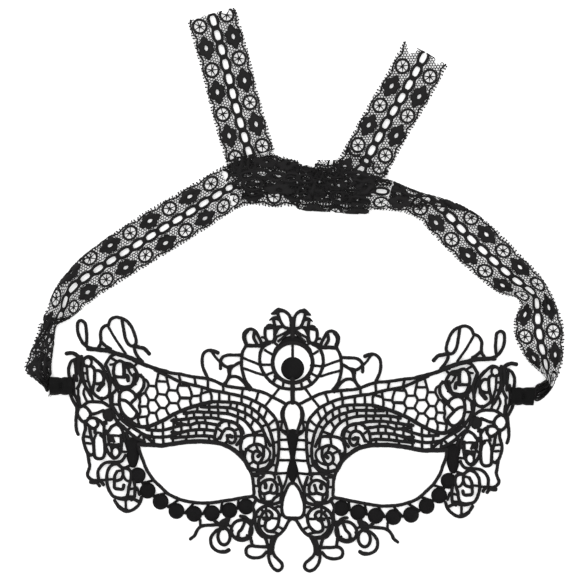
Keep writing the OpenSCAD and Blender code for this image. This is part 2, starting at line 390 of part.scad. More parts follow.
SIDE_STROKES = [
    [C, [[99.8, 24.2], [99.4, 20.6], [100.4, 16], [99.4, 11.6], [98.4, 9], [97.7, 5.4], [97.3, 2.6],
        [98.3, -1], [97.4, -3], [95.4, -4.2]]],
    [P, [[96.6, -4.9], [94.4, -4.8]]],
    [C, [[94.4, -4.6], [93.4, -5.6], [92.6, -6.8]]],
    [C, [[92.8, -4], [91.4, -5], [90.6, -6.2]]],
    [B, [[95.4, -4], [88.6, -3.9]]],
    [C, [[95.4, 14.8], [95.2, 10], [94.8, 7.2], [93, 6.3], [91, 6.7], [90.1, 9], [90.1, 13],
        [90.8, 16.4], [92, 17.6]]],
    [C, [[98.4, 9.4], [96.8, 8], [95.2, 9]]],
    [B, [[98.8, 13.8], [96.4, 13.6], [95.4, 14.6]]],
    [C, [[97.4, 21.2], [96.8, 17.6], [96, 15]]], [B, [[95.4, 14.6], [94, 18.6], [91.8, 18.4]]],
    [C, [[99.6, 24.2], [97.6, 22], [95.2, 20.8], [93.4, 22.6], [94, 25.6]]],
    [C, [[98, 25.6], [95.4, 25.8], [92.4, 24.4], [90.6, 22.4]]],
    [C, [[94.6, 21], [94.8, 18.8]]], [B, [[99.4, 17], [96.6, 16.4]]],
    [C, [[90.4, 23.8], [90.4, 20], [90.2, 16], [89.8, 12]]],
    [C, [[84.6, 23], [82.4, 21.4], [81.2, 18.4], [80.4, 15.6]]],
    [C, [[89.3, 19.6], [88.2, 17.4], [86.4, 15]]],
    [P, [[87, 12.7], [85, 12.5], [83, 12.8]]],
    [B, [[86.6, 17.2], [85.6, 14.4]]], [B, [[88.6, 17.4], [86, 17.4], [82.4, 17.2]]],
    [C, [[90.2, 16], [89.8, 12.6], [88.6, 9.6], [87, 7.4], [85.4, 6.5], [83.7, 7.4], [82.5, 9.8],
        [82, 12.6], [82.2, 15.6], [82.4, 17.6]]],
    [B, [[88.6, 18.6], [88.2, 14.6], [87.2, 12], [86.6, 9.8]]], [B, [[82.4, 9.6], [80, 9.6]]],
    [C, [[89.8, 18.2], [88.2, 19.6], [86.8, 21.6], [84.8, 22.8]]],
    [B, [[82.4, 14.6], [80.4, 14.6]]], [B, [[81.8, 16], [80.4, 18.4]]],
    [B, [[88.8, 12.8], [87.4, 14.8]]],
    [C, [[93, -3.6], [93.3, 0], [92, 2.6], [89.7, 4.3], [87, 4.7], [83.5, 4.7], [81.5, 5.6], [80.2, 8]]],
    [B, [[89.6, 25.4], [89.2, 23]]]
];
SIDE_RINGS = [[[84.9, 9.4], 1.9, 2.5, B]];

CHEEK_STROKES = [
    [C, [[89.1, -3.4], [88.8, 0], [87.5, 2.4], [85.4, 3.7], [83.4, 3.5], [81.8, 2], [79.4, 1.6],
        [77.8, 0.4], [77.3, -2], [77.8, -4.6], [78.5, -7.4], [78.9, -10.4], [80, -12.3], [83.4, -12.5],
        [86.4, -11.3], [88.2, -8.2], [89, -5], [89.1, -3.4]]],
    [B, [[88.8, -3.7], [85.4, -3.5]]],
    [C, [[84.2, 0.2], [85.3, -2], [85.4, -5], [85.3, -7.6], [83.4, -8.2], [81.4, -8.2], [80.9, -6.4]]],
    [B, [[85.4, -2.6], [84, 0.2], [81.6, 0.6]]],
    [C, [[81.7, 1.8], [81.3, -1.4], [82.4, -3.6], [85.2, -4.4]]],
    [B, [[81.2, -1.6], [80, -3.8], [78, -4.7]]],
    [C, [[78.6, 2.6], [81.2, 1.9], [83.4, 3.3]]], [B, [[78.4, -8.4], [75.4, -7.8]]],
    [C, [[76, -4.4], [75.6, -7.6], [75.8, -12], [77.4, -13.4]]],
    [B, [[79.2, -11.6], [79.8, -13.6]]], [B, [[78.8, -11.8], [75.9, -11.8]]],
    [C, [[85.4, -13.6], [84, -15.8], [82.2, -17.8], [79.8, -18.9], [77.2, -18.5], [74.7, -16.8],
        [73.1, -14.6], [72.4, -12.2]]],
    [T, [[83.4, -16.6], [81.4, -18], [79.4, -18.5]]],
    [B, [[80, -13.4], [79.9, -18]]], [C, [[84.6, -12.2], [81, -13.2], [77, -12.8], [73.2, -14.6]]],
    [B, [[74.6, -7.6], [73.4, -11]]]
];
CHEEK_RINGS = [];

PLUME_STROKES = [
    [C, [[99, 60.2], [98.7, 65], [99.2, 69.8], [99.8, 71.6], [101.5, 72.6], [103, 71.4], [103.1, 68],
        [102.2, 64.6], [100.6, 61.8], [98.4, 60], [96.4, 59.2]]],
    [C, [[93.1, 59.6], [91.9, 62], [92.1, 66.6], [90.8, 69.4], [89, 70.3]]],
    [C, [[91.6, 62.2], [89.4, 60.2], [87.4, 59]]],
    [B, [[88.7, 70.3], [86, 65.4], [83, 60.8], [80, 56.6]]],
    [C, [[88.4, 70.2], [87.2, 73], [84.6, 74.2], [82, 73.6], [79.6, 72.4], [77.2, 69.4], [75.6, 65.4],
        [75, 62], [76.4, 60.3],
        [78.4, 60.9], [80, 63.6], [81, 68], [81.8, 73.2]]],
    [T, [[76, 60.4], [73.4, 59.7], [71, 59], [68.7, 56.6]]],
    [C, [[76, 60], [75.4, 57.4], [73.8, 54.8], [72, 52.8]]]
];

LEFT = -1;
RIGHT = 1;

// How the pattern's own size maps onto the chosen panel size
PATTERN_W = 221;
PATTERN_H = 127;
kx = mask_w / PATTERN_W;
ky = mask_h / PATTERN_H;

// Place of a half-pattern point on the panel. The right wing droops and leans a little.
droop_k = wing_droop / 110;
lean_k = droop_k * 0.75;
function lay(p, side) = side == LEFT
    ? [-p[0] * kx, p[1] * ky]
    : [(p[0] - lean_k * (p[1] - 17) * min(1, p[0] / 12)) * kx,
       (p[1] - droop_k * p[0] * (1 + 0.005 * (p[1] - 20))) * ky];

// Smooth curve through points: steps short chords between each two of them
steps = 2;
function between(a, b, c, d, t) =
    0.5 * (2 * b + (c - a) * t + (2 * a - 5 * b + 4 * c - d) * t * t + (3 * b - a - 3 * c + d) * t * t * t);
function curve(p) = [
    for (i = [0 : len(p) - 2]) for (k = [0 : steps - 1])
        between(p[max(i - 1, 0)], p[i], p[i + 1], p[min(i + 2, len(p) - 1)], k / steps),
    p[len(p) - 1]
];
function side_of(p, i, d) = let (
        t = p[min(i + 1, len(p) - 1)] - p[max(i - 1, 0)],
        n = [-t[1], t[0]] / norm(t)
    ) p[i] + n * d;
function oval(c, rx, ry) = [
    for (a = [0 : rx + ry > 9 ? 15 : 24 : 359]) [c[0] + rx * cos(a), c[1] + ry * sin(a)]
];

// One cord: a hairline along its curve, grown to the cord's width
HAIR = 0.02;
module cord(points, width) {
    c = len(points) > 2 ? curve(points) : points;
    offset(delta = (width - HAIR) / 2)
        polygon([for (i = [0 : len(c) - 1]) side_of(c, i, HAIR / 2),
                 for (i = [len(c) - 1 : -1 : 0]) side_of(c, i, -HAIR / 2)]);
}
module cords(strokes, side)
    for (s = strokes) cord([for (p = s[1]) lay(p, side)], s[0]);
module rings(list, side)
    for (r = list) let (outline = [for (p = oval(r[0], r[1], r[2])) lay(p, side)]) difference() {
        offset(delta = r[3] / 2) polygon(outline);
        offset(delta = -r[3] / 2) polygon(outline);
    }
module fills(list, side)
    for (f = list) polygon([for (p = f) lay(p, side)]);

// A motif: its flat drawing as one sheet of lace that starts a little above the table, so that
// motifs which are stitched through each other share no face
MERGE = 0.005;
module motif(lift, thickness)
    translate([0, 0, lift]) linear_extrude(thickness) offset(delta = MERGE) children();

// How far the back of each group of motifs stands off the table
BASE = 0;
STEP = 0.06;

module medallion_rings() color("#171517") motif(BASE, lace_t) {
    for (side = [LEFT, RIGHT]) cords(MEDALLION_STROKES, side);
    rings(MEDALLION_RINGS, LEFT);
}
module medallion_pupil() color("#1d1a1d") translate([0, 49.5 * ky, STEP])
    cylinder(d = pupil_d, h = lace_t + pad_t, $fn = 64);
module medallion_crescent() color("#1d1a1d") motif(2 * STEP, lace_t + pad_t)
    for (side = [LEFT, RIGHT]) fills([CRESCENT_FILL], side);
module crown_scrolls() color("#171517") motif(3 * STEP, lace_t + pad_t / 2)
    for (side = [LEFT, RIGHT]) {
        cords(CROWN_STROKES, side);
        fills(CROWN_FILLS, side);
    }
module nose_teardrop() color("#171517") motif(4 * STEP, lace_t)
    for (side = [LEFT, RIGHT]) cords(NOSE_STROKES, side);
module nose_leaf() color("#1d1a1d") motif(BASE, lace_t + pad_t)
    for (side = [LEFT, RIGHT]) {
        fills([NOSE_LEAF_FILL], side);
        cords(NOSE_LEAF_STROKES, side);
    }
module nose_arch() color("#171517") motif(2 * STEP, lace_t)
    for (side = [LEFT, RIGHT]) cords(NOSE_ARCH_STROKES, side);

module ear_lobe(side) color("#171517") motif(2 * STEP, lace_t) cords(EAR_STROKES, side);
module brow_scrolls(side) color("#171517") motif(STEP, lace_t + pad_t / 2) {
    cords(BROW_SCROLL_STROKES, side);
    fills(BROW_SCROLL_FILLS, side);
}
module brow_band(side) color("#171517") motif(3 * STEP, lace_t) cords(BROW_BAND_STROKES, side);
module honeycomb(side) color("#171517") motif(4 * STEP, lace_t - 2 * STEP) cords(HONEYCOMB_STROKES, side);
module lid_bands(side) color("#171517") motif(5 * STEP, lace_t) cords(LID_STROKES, side);
module eye_rim(side) color("#171517") motif(BASE, lace_t + pad_t / 2)
    cords([[pad_w, RIM_UPPER], [cord_w, RIM_LOWER]], side);
module inner_rosettes(side) color("#171517") motif(2 * STEP, lace_t) {
    cords(INNER_ROSETTE_STROKES, side);
    rings(INNER_ROSETTE_RINGS, side);
}
module nose_rosettes(side) color("#171517") motif(5 * STEP, lace_t) {
    cords(NOSE_ROSETTE_STROKES, side);
    rings(NOSE_ROSETTE_RINGS, side);
}
module lower_curls(side) color("#171517") motif(3 * STEP, lace_t) {
    cords(LOWER_CURL_STROKES, side);
    rings(LOWER_CURL_RINGS, side);
    fills(LOWER_CURL_FILLS, side);
}
module bottom_drops(side) color("#171517") motif(side == LEFT ? STEP : 4 * STEP, lace_t)
    cords(DROP_STROKES, side);
module dot_row(side) color("#1d1a1d") {
    motif(STEP, lace_t) {
        cords([[bar_w, DOTS]], side);
        for (i = [0 : len(DOT_TIES) - 1]) {
            neck = (DOTS[i] + DOTS[i + 1]) / 2;
            cords([[bar_w, [neck, DOT_TIES[i]]]], side);
        }
    }
    for (dot = DOTS) translate(concat(lay(dot, side), [STEP]))
        cylinder(d = dot_d, h = lace_t + pad_t, $fn = 48);
}
module satin_leaf(side) color("#1d1a1d") motif(4 * STEP, lace_t + pad_t) fills([LEAF_FILL], side);
module temple_spirals(side) color("#171517") motif(BASE, lace_t + pad_t / 2) {
    cords(TEMPLE_STROKES, side);
    rings(TEMPLE_RINGS, side);
    fills(TEMPLE_FILLS, side);
}
module side_scrolls(side) color("#171517") motif(STEP, lace_t) {
    cords(SIDE_STROKES, side);
    rings(SIDE_RINGS, side);
}
module cheek_rosette(side) color("#171517") motif(2 * STEP, lace_t) {
    cords(CHEEK_STROKES, side);
    rings(CHEEK_RINGS, side);
}
module plume(side) color("#171517") motif(3 * STEP, lace_t) cords(PLUME_STROKES, side);

// The line that both sleeves' bores lie on, and that the knotted loop swings about
SLEEVE_MID = [110.8, 41.2];
hinge_left = lay(SLEEVE_MID, LEFT);
hinge_right = lay(SLEEVE_MID, RIGHT);
hinge_tilt = atan2(hinge_right[1] - hinge_left[1], hinge_right[0] - hinge_left[0]);
// Turns a piece drawn along +X from a sleeve's middle onto that sleeve, pointing outwards
module at_sleeve(side) {
    mid = side == LEFT ? hinge_left : hinge_right;
    translate([mid[0], mid[1], sleeve_t / 2]) rotate([0, 0, hinge_tilt + (side == LEFT ? 180 : 0)])
        rotate([90, 0, 90]) children();
}
SLEEVE_WALL = 1.2;
CORNER = 1.2;
module sleeve(side) color("#0f0e0f") at_sleeve(side) difference() {
    translate([0, 0, -sleeve_l / 2]) linear_extrude(sleeve_l) offset(r = CORNER, $fn = 24)
        square([sleeve_h - 2 * CORNER, sleeve_t - 2 * CORNER], center = true);
    translate([0, 0, -sleeve_l / 2 + SLEEVE_WALL]) cylinder(r = bore_r, h = sleeve_l, $fn = 48);
}
// The ribbon's gathered end, inside the sleeve and a little way out of it
END_PLAY = 0.4;
module gathered_end(side) at_sleeve(side) translate([0, 0, -sleeve_l / 2 + SLEEVE_WALL + END_PLAY])
    cylinder(r = bore_r - bore_gap, h = sleeve_l + 1.6, $fn = 48);

// A stretch of ribbon as a closed band. Each station is
// [one edge, other edge, height of its underside, layers of ribbon].
RIBBON_W = 24.6;
LEFT_TIE = [
    [[-117.4, 37.8], [-117.4, 44.8], 1.3, 3],
    [[-121.5, 40.8], [-117.4, 46.8], 1.1, 3],
    [[-127.2, 46.8], [-116.4, 48.6], 0.7, 3],
    [[-128, 50.5], [-115.6, 51.5], 0.5, 2.5],
    [[-125.8, 57], [-114.9, 57], 0.4, 2.5],
    [[-123.2, 63.5], [-114.3, 63.5], 0.4, 2.5],
    [[-119.4, 70.5], [-113.6, 69.5], 0.4, 3.5],
    [[-118, 76.5], [-112.4, 73.6], 0.4, 3.5],
    [[-116.6, 81.5], [-110, 73.2], 0.4, 3],
    [[-114.8, 86.5], [-106.6, 74.6], 0.4, 2],
    [[-111.6, 92], [-103, 77.8], 0.3, 1],
    [[-106.2, 98.6], [-97.6, 81.6], 0.3, 1],
    [[-98, 106.6], [-90, 87.2], 0.3, 1],
    [[-77.5, 121.4], [-68.6, 101], 0.3, 1],
    [[-54.5, 134.9], [-45, 115.8], 0.3, 1],
    [[-34.2, 146.2], [-28.5, 127.4], 0.5, 2]
];
RIGHT_TIE = [
    [[117, 41], [117, 33.8], 1.3, 3],
    [[119.6, 46.4], [121, 36.8], 1.1, 3],
    [[116.4, 49.4], [125.2, 41.8], 0.9, 2.5],
    [[112.8, 53.2], [127.8, 47.6], 0.6, 2],
    [[109.6, 58.8], [129, 55.2], 0.4, 1],
    [[107.2, 65.6], [129, 64], 0.3, 1],
    [[106, 71], [128.4, 72], 0.3, 1],
    [[107.2, 77], [126.8, 78.4], 0.3, 1],
    [[108.4, 81.4], [124.4, 84], 0.4, 2],
    [[106, 84.6], [121.4, 89], 0.4, 2],
    [[99.8, 84.9], [116.8, 94.8], 0.3, 1],
    [[93.2, 88.9], [110.4, 101.8], 0.3, 1],
    [[78.2, 102.6], [96.2, 114.8], 0.3, 1],
    [[63.6, 117.6], [80, 128], 0.3, 1],
    [[56.8, 123.6], [68, 131], 0.3, 2],
    [[47.6, 127.2], [57, 134], 0.4, 2.5],
    [[42, 126.8], [47.6, 138.6], 0.5, 3]
];
LEFT_FOLD = [
    [[-34.2, 146.2], [-28.5, 127.4], 0.5, 2],
    [[-20.2, 150.2], [-20, 129.8], 0.6, 4.5],
    [[-8.2, 153.3], [-9, 129], 0.6, 5.5],
    [[2, 148.2], [2, 128.8], 0.6, 6],
    [[13, 146.8], [12, 125.4], 0.6, 6]
];
RIGHT_FOLD = [
    [[13.2, 148.4], [12.2, 125.2], 0.8, 5],
    [[22.8, 151.8], [21, 124.7], 0.6, 5.5],
    [[33.4, 145.9], [33, 123.8], 0.6, 5],
    [[44.2, 139.9], [42, 126.8], 0.5, 3.4]
];
module band(stations, z_shift = 0) {
    widen = ribbon_w / RIBBON_W;
    n = len(stations);
    points = [
        for (s = stations) let (
            mid = (s[0] + s[1]) / 2,
            a = mid + (s[0] - mid) * widen,
            b = mid + (s[1] - mid) * widen,
            low = s[2] + z_shift,
            top = low + s[3] * ribbon_t
        ) each [[a[0] * kx, a[1] * ky, low], [b[0] * kx, b[1] * ky, low],
                [b[0] * kx, b[1] * ky, top], [a[0] * kx, a[1] * ky, top]]
    ];
    ring = [for (i = [0 : n - 2]) for (j = [0 : 3]) let (
            p = 4 * i + j,
            q = 4 * i + (j + 1) % 4
        ) each [[p, q, q + 4], [p, q + 4, p + 4]]];
    last = 4 * (n - 1);
    polyhedron(points, concat(ring, [[2, 1, 0], [3, 2, 0],
        [last, last + 1, last + 2], [last, last + 2, last + 3]]));
}
module left_tie() color("#1a181a") {
    gathered_end(LEFT);
    band(LEFT_TIE);
}
module right_tie() color("#1a181a") {
    gathered_end(RIGHT);
    band(RIGHT_TIE);
}
module left_knot_fold() color("#161416") band(LEFT_FOLD);
module right_knot_fold() color("#161416") band(RIGHT_FOLD);

// A loose end is flat, and turns about its own first edge
LEFT_TAIL_ROOT = [-20.2, 150.7];
LEFT_TAIL_LEAN = 105.2;
RIGHT_TAIL_ROOT = [33.8, 146.4];
RIGHT_TAIL_LEAN = 61;
TAIL_Z = 1;
module tail(root, lean, length) translate([root[0] * kx, root[1] * ky, TAIL_Z]) rotate([0, 0, lean])
    translate([tail_gap + max(0, ribbon_w - RIBBON_W), -ribbon_w / 2, 0]) cube([length, ribbon_w, ribbon_t]);
module left_tail() color("#1a181a") tail(LEFT_TAIL_ROOT, LEFT_TAIL_LEAN, left_tail_l);
module right_tail() color("#1a181a") tail(RIGHT_TAIL_ROOT, RIGHT_TAIL_LEAN, right_tail_l);

medallion_rings();
medallion_pupil();
medallion_crescent();
crown_scrolls();
nose_teardrop();
nose_leaf();
nose_arch();
ear_lobe(LEFT);  // left_ear_lobe
ear_lobe(RIGHT);  // right_ear_lobe
brow_scrolls(LEFT);  // left_brow_scrolls
brow_scrolls(RIGHT);  // right_brow_scrolls
brow_band(LEFT);  // left_brow_band
brow_band(RIGHT);  // right_brow_band
honeycomb(LEFT);  // left_honeycomb
honeycomb(RIGHT);  // right_honeycomb
lid_bands(LEFT);  // left_lid_bands
lid_bands(RIGHT);  // right_lid_bands
eye_rim(LEFT);  // left_eye_rim
eye_rim(RIGHT);  // right_eye_rim
inner_rosettes(LEFT);  // left_inner_rosettes
inner_rosettes(RIGHT);  // right_inner_rosettes
nose_rosettes(LEFT);  // left_nose_rosettes
nose_rosettes(RIGHT);  // right_nose_rosettes
lower_curls(LEFT);  // left_lower_curls
lower_curls(RIGHT);  // right_lower_curls
bottom_drops(LEFT);  // left_bottom_drops
bottom_drops(RIGHT);  // right_bottom_drops
dot_row(LEFT);  // left_dot_row
dot_row(RIGHT);  // right_dot_row
satin_leaf(LEFT);  // left_satin_leaf
satin_leaf(RIGHT);  // right_satin_leaf
temple_spirals(LEFT);  // left_temple_spirals
temple_spirals(RIGHT);  // right_temple_spirals
side_scrolls(LEFT);  // left_side_scrolls
side_scrolls(RIGHT);  // right_side_scrolls
cheek_rosette(LEFT);  // left_cheek_rosette
cheek_rosette(RIGHT);  // right_cheek_rosette
plume(LEFT);  // left_plume
plume(RIGHT);  // right_plume
sleeve(LEFT);  // left_sleeve
sleeve(RIGHT);  // right_sleeve
left_tie();
right_tie();
left_knot_fold();
right_knot_fold();
left_tail();
right_tail();
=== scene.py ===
"""Lace eye mask with two knotted ribbon ties: the looks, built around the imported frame.

Every cord, satin pad and ribbon thread is a mesh. Sizes are in millimetres until Piece.build().
"""
import math

import bpy
import numpy as np
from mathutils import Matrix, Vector
from mathutils.geometry import delaunay_2d_cdt


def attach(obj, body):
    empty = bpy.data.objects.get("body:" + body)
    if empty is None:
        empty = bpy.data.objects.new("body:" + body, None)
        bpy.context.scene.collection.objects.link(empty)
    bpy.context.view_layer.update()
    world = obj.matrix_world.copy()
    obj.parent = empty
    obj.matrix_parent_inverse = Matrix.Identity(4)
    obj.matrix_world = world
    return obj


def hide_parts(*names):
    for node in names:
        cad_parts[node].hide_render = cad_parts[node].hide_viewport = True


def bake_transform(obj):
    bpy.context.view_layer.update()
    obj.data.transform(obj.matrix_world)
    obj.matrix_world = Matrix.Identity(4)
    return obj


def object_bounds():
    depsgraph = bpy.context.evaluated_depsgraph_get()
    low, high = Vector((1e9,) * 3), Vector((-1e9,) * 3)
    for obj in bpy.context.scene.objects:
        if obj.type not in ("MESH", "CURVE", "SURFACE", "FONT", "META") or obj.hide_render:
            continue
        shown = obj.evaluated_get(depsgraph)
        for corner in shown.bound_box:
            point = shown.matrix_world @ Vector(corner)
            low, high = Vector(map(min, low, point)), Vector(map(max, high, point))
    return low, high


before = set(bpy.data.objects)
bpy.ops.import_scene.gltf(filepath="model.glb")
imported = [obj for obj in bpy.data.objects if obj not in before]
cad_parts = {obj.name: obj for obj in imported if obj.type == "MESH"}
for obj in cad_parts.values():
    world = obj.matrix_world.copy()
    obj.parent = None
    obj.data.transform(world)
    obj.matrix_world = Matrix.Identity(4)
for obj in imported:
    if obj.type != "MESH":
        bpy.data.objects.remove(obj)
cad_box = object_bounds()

MM = 0.001
LEFT, RIGHT = -1, 1
SIDE_NAMES = {LEFT: "left", RIGHT: "right"}

# ---------------------------------------------------------------- camera, floor and light

# The camera looks straight down on the mask as it lies on the table
SEEN_WIDTH = 280.8 * MM
LENS, SENSOR = 135, 36
# How far the middle of the view lies from the middle of the object
VIEW_OFFSET = Vector((-0.55, -1.55)) * MM
# Half the side of the paper floor, in metres
FLOOR_HALF = 3.0


def add_camera():
    data = bpy.data.cameras.new("camera")
    data.lens, data.sensor_width = LENS, SENSOR
    data.clip_start, data.clip_end = 0.01, 20
    camera = bpy.data.objects.new("camera", data)
    bpy.context.scene.collection.objects.link(camera)
    middle = (cad_box[0] + cad_box[1]) / 2
    camera.location = (middle.x + VIEW_OFFSET.x, middle.y + VIEW_OFFSET.y, SEEN_WIDTH * LENS / SENSOR)
    bpy.context.scene.camera = camera


def add_area_light(name, location, size, power):
    data = bpy.data.lights.new(name, "AREA")
    data.size, data.energy = size, power
    light = bpy.data.objects.new(name, data)
    bpy.context.scene.collection.objects.link(light)
    light.location = location
    light.rotation_mode = "QUATERNION"
    light.rotation_quaternion = (Vector((0, 0.08, 0)) - Vector(location)).to_track_quat("-Z", "Y")


def add_stage():
    world = bpy.data.worlds.new("studio")
    bpy.context.scene.world = world
    world.use_nodes = True
    background = world.node_tree.nodes["Background"]
    background.inputs["Color"].default_value = (1, 1, 1, 1)
    background.inputs["Strength"].default_value = 0.9
    add_area_light("key", (-0.7, 0.75, 1.3), 0.9, 9)
    add_area_light("fill", (0.9, -0.3, 1.4), 1.2, 5)
    mesh = bpy.data.meshes.new("floor")
    corners = [(x * FLOOR_HALF, y * FLOOR_HALF, 0) for x, y in ((-1, -1), (1, -1), (1, 1), (-1, 1))]
    mesh.from_pydata(corners, [], [(0, 1, 2, 3)])
    floor = bpy.data.objects.new("floor", mesh)
    bpy.context.scene.collection.objects.link(floor)
    paper = bpy.data.materials.new("white_paper")
    paper.use_nodes = True
    shader = paper.node_tree.nodes["Principled BSDF"]
    shader.inputs["Base Color"].default_value = (0.92, 0.92, 0.92, 1)
    shader.inputs["Roughness"].default_value = 0.9
    shader.inputs["Specular IOR Level"].default_value = 0.1
    shader.inputs["Emission Color"].default_value = (1, 1, 1, 1)
    shader.inputs["Emission Strength"].default_value = 0.35
    mesh.materials.append(paper)


add_camera()
add_stage()
bpy.context.scene.view_settings.view_transform = "Standard"

# ---------------------------------------------------------------- the lace pattern

# Drawn widths of a joining bar, a main cord, a thickened cord and a padded cord. The first three
# are a little over the CAD's, as the threads of the photo look.
B, C, T, P = 1.4, 1.75, 2.1, 2.4

# The pattern is drawn for one half, x measured outwards from the centre line. A stroke is
# [width, points], a ring is [centre, radius, radius, width], and a fill is an outline.


def joins(*ends):
    """Straight joining bars, each given as its x, y and x, y."""
    return [[B, [[a, b], [c, d]]] for a, b, c, d in ends]


MEDALLION_STROKES = [
    [C, [[0, 39.6], [5, 40.2], [9.5, 42.4], [13, 46], [15.2, 50.2], [15.8, 54.5], [15.2, 58],
        [13.6, 60.3], [11, 61.6]]], [B, [[0, 54.5], [0, 61]]], [P, [[0, 44.4], [0, 39.6]]],
    *joins([9.3, 56, 13.3, 58.4], [9.6, 51.4, 15.6, 51.3], [8.9, 48, 12.9, 46.2]),
    [C, [[7.3, 46], [9.4, 43]]], [B, [[4.3, 43.8], [4.8, 40]]], [C, [[3.5, 43.3], [8.5, 45.8]]],
]

MEDALLION_RINGS = [[[0, 52.3], 9.6, 9.6, T]]

CRESCENT_FILL = [[0, 65.3], [3, 64.8], [5, 63.2], [6.8, 61.2], [8.8, 59.2], [9.6, 56.6],
    [8.6, 57.2], [6.5, 59.2], [3.6, 60.7], [0, 61.2]]

CROWN_STROKES = [
    [P, [[0, 65], [0, 73.4]]], [C, [[0.7, 69.5], [0.9, 73], [2, 75.6], [4.4, 77.3], [6.6, 77.8]]],
    [C, [[7, 76], [6.4, 73.5], [5.2, 70.9], [3.8, 69.3], [2, 68.8], [0.8, 68]]],
    [B, [[7.7, 64.7], [4.5, 66.2], [1.2, 68.2]]], [B, [[8.2, 66.2], [6.6, 68.8], [4.4, 69.6]]],
    [B, [[6.8, 62.6], [3.4, 65.4], [0.8, 67.2]]], [C, [[8.6, 70.5], [9.1, 72.6]]],
    [C, [[8.7, 68.8], [8.6, 66], [8.9, 63.2], [9.8, 62.4]]],
    [C, [[13, 69], [13.3, 66.5], [12.9, 64], [11.9, 62.3]]],
    [C, [[14.8, 61.2], [12, 62.2], [9, 62.3], [7.9, 64.6]]],
    *joins([12.9, 64.2, 14.6, 64.6], [7.3, 60.7, 9.3, 62.4]),
]

CROWN_FILLS = [[[1.5, 75.4], [2.6, 76.8], [4.5, 78], [6.7, 78.8], [8.3, 78], [9.6, 76.8],
        [10.5, 76], [10.2, 75.3], [8, 75.3], [6.9, 75.5], [5.8, 76.3], [4.2, 76.2], [2.8, 75.2]],
    [[6.2, 74.8], [9, 74.6], [10.3, 74], [11.5, 72.5], [9.8, 72.7], [8.8, 72.7], [7.6, 72.6],
        [6.4, 72.3]],
    [[13.4, 68.3], [12.9, 70.1], [11.8, 71], [10, 71], [8.4, 70.3], [5.6, 70.2], [6.6, 68.4],
        [8.6, 67.8], [9.6, 68.3], [12.2, 68]]]
EAR_STROKES = [
    [C, [[14.6, 60.8], [15.4, 63], [16.8, 65.6], [18, 67.6], [20, 68.5], [22, 67.9], [23.4, 66.2],
        [23.3, 63.5], [22.2, 60.8]]], [T, [[21.6, 67.6], [22.8, 66], [23, 63.8], [22.3, 61.8]]],
    [C, [[18.3, 67.2], [18.6, 64.2], [17.2, 61.6]]], [T, [[15.4, 60.5], [22.4, 60.5]]],
    [C, [[22.2, 60.8], [23.9, 57.5], [24.5, 53.5], [24.3, 49.5], [23.5, 46], [22, 42.7],
        [20, 40.2]]], [B, [[24.2, 54.8], [20, 53.1], [15.8, 51.3]]],
    [B, [[24.2, 49.8], [20, 48.4], [14.3, 46.4]]], [B, [[14.6, 60.8], [15, 57.6]]],
]

BROW_SCROLL_STROKES = [
    [C, [[40.3, 44.3], [41.7, 47], [42.9, 50], [43.4, 53], [43, 56], [41.7, 57.7], [40, 58.3],
        [37.8, 58]]], [T, [[39.4, 58.2], [37.4, 57.8], [35.8, 57.1]]],
    [B, [[38.8, 57.6], [36.9, 54.9], [34.6, 52.4]]],
    [C, [[34.6, 49.4], [34.6, 52], [34.2, 54], [32.9, 55.4], [30.5, 56], [27.4, 56], [24.2, 56]]],
    [C, [[34.4, 52.4], [32.3, 50.6], [30.3, 50.2], [28.2, 50.8], [26.2, 52], [24.4, 52.6]]],
    [C, [[30.6, 50.3], [30.4, 46.8], [31.3, 44], [33.4, 41.6]]],
    [C, [[32.2, 42.2], [30.5, 45], [28.5, 45.8], [26.3, 45.4], [24.3, 43.9], [22.3, 41.6],
        [20.6, 39.2]]],
]

BROW_SCROLL_FILLS = [[[31.3, 50.8], [27, 51.4], [29, 48.8], [29.6, 45.6], [31, 46]]]
BROW_BAND_STROKES = [
    [T, [[76, 53.4], [73, 52.2], [70, 51], [65, 49.3], [60, 47.9]]],
    [C, [[62, 48.2], [58, 47.4], [54, 46.9], [50, 46], [45, 45.2], [41, 44.7], [37.5, 43.6],
        [34, 42], [31, 41], [27, 40.4], [22, 39.8], [16.5, 38.8], [13, 37.6], [9.5, 35.8], [6, 34],
        [3, 32.4]]],
    [C, [[66, 48.9], [62, 46.9], [58, 45.1], [54, 43.2], [50, 42.2], [46, 41.2], [42, 40.2],
        [38, 38.9], [34, 38.3], [30, 37.4], [26, 36.6], [22, 35.5], [17, 33.3], [13.5, 31.2],
        [10.8, 28.7], [8.7, 26.2], [7.4, 23.5], [6.8, 20.5], [6.6, 15], [6.7, 10], [7.2, 5], [8, 1],
        [7.8, -1]]],
    [C, [[40, 33.6], [36, 33.6], [32, 33.5], [28, 33.2], [25, 32.7], [22, 31.6], [19, 30],
        [16.5, 28], [14.2, 25.4], [12.2, 22.6], [10.9, 19.6], [9.9, 16.4], [9.2, 13], [9, 10],
        [9.1, 6.5], [10, 3.5], [12, 1.2]]],
    *joins([54.6, 47, 53.6, 43], [47.2, 45.6, 46.4, 41.3], [40.6, 44.7, 40.6, 39.8],
        [33.4, 41.8, 33.2, 38.2], [23.8, 40, 24.4, 36.2], [16.2, 38.7, 17.8, 33.6],
        [9.6, 36, 13.4, 31.3], [9.6, 36, 6.2, 40.4], [35.2, 38.5, 35.2, 33.6],
        [30.4, 37.5, 30.4, 33.5], [24.6, 36.2, 24.4, 32.6], [19.4, 34.4, 20.6, 31],
        [15.2, 32.2, 16.6, 28.2], [12.2, 30, 13.9, 25.2], [8.2, 25.2, 11.8, 22.2],
        [6.9, 20.6, 11, 19.6], [6.7, 14.4, 9.4, 14], [6.9, 8, 9, 7.6], [7.6, 3, 10, 3.4]),
]

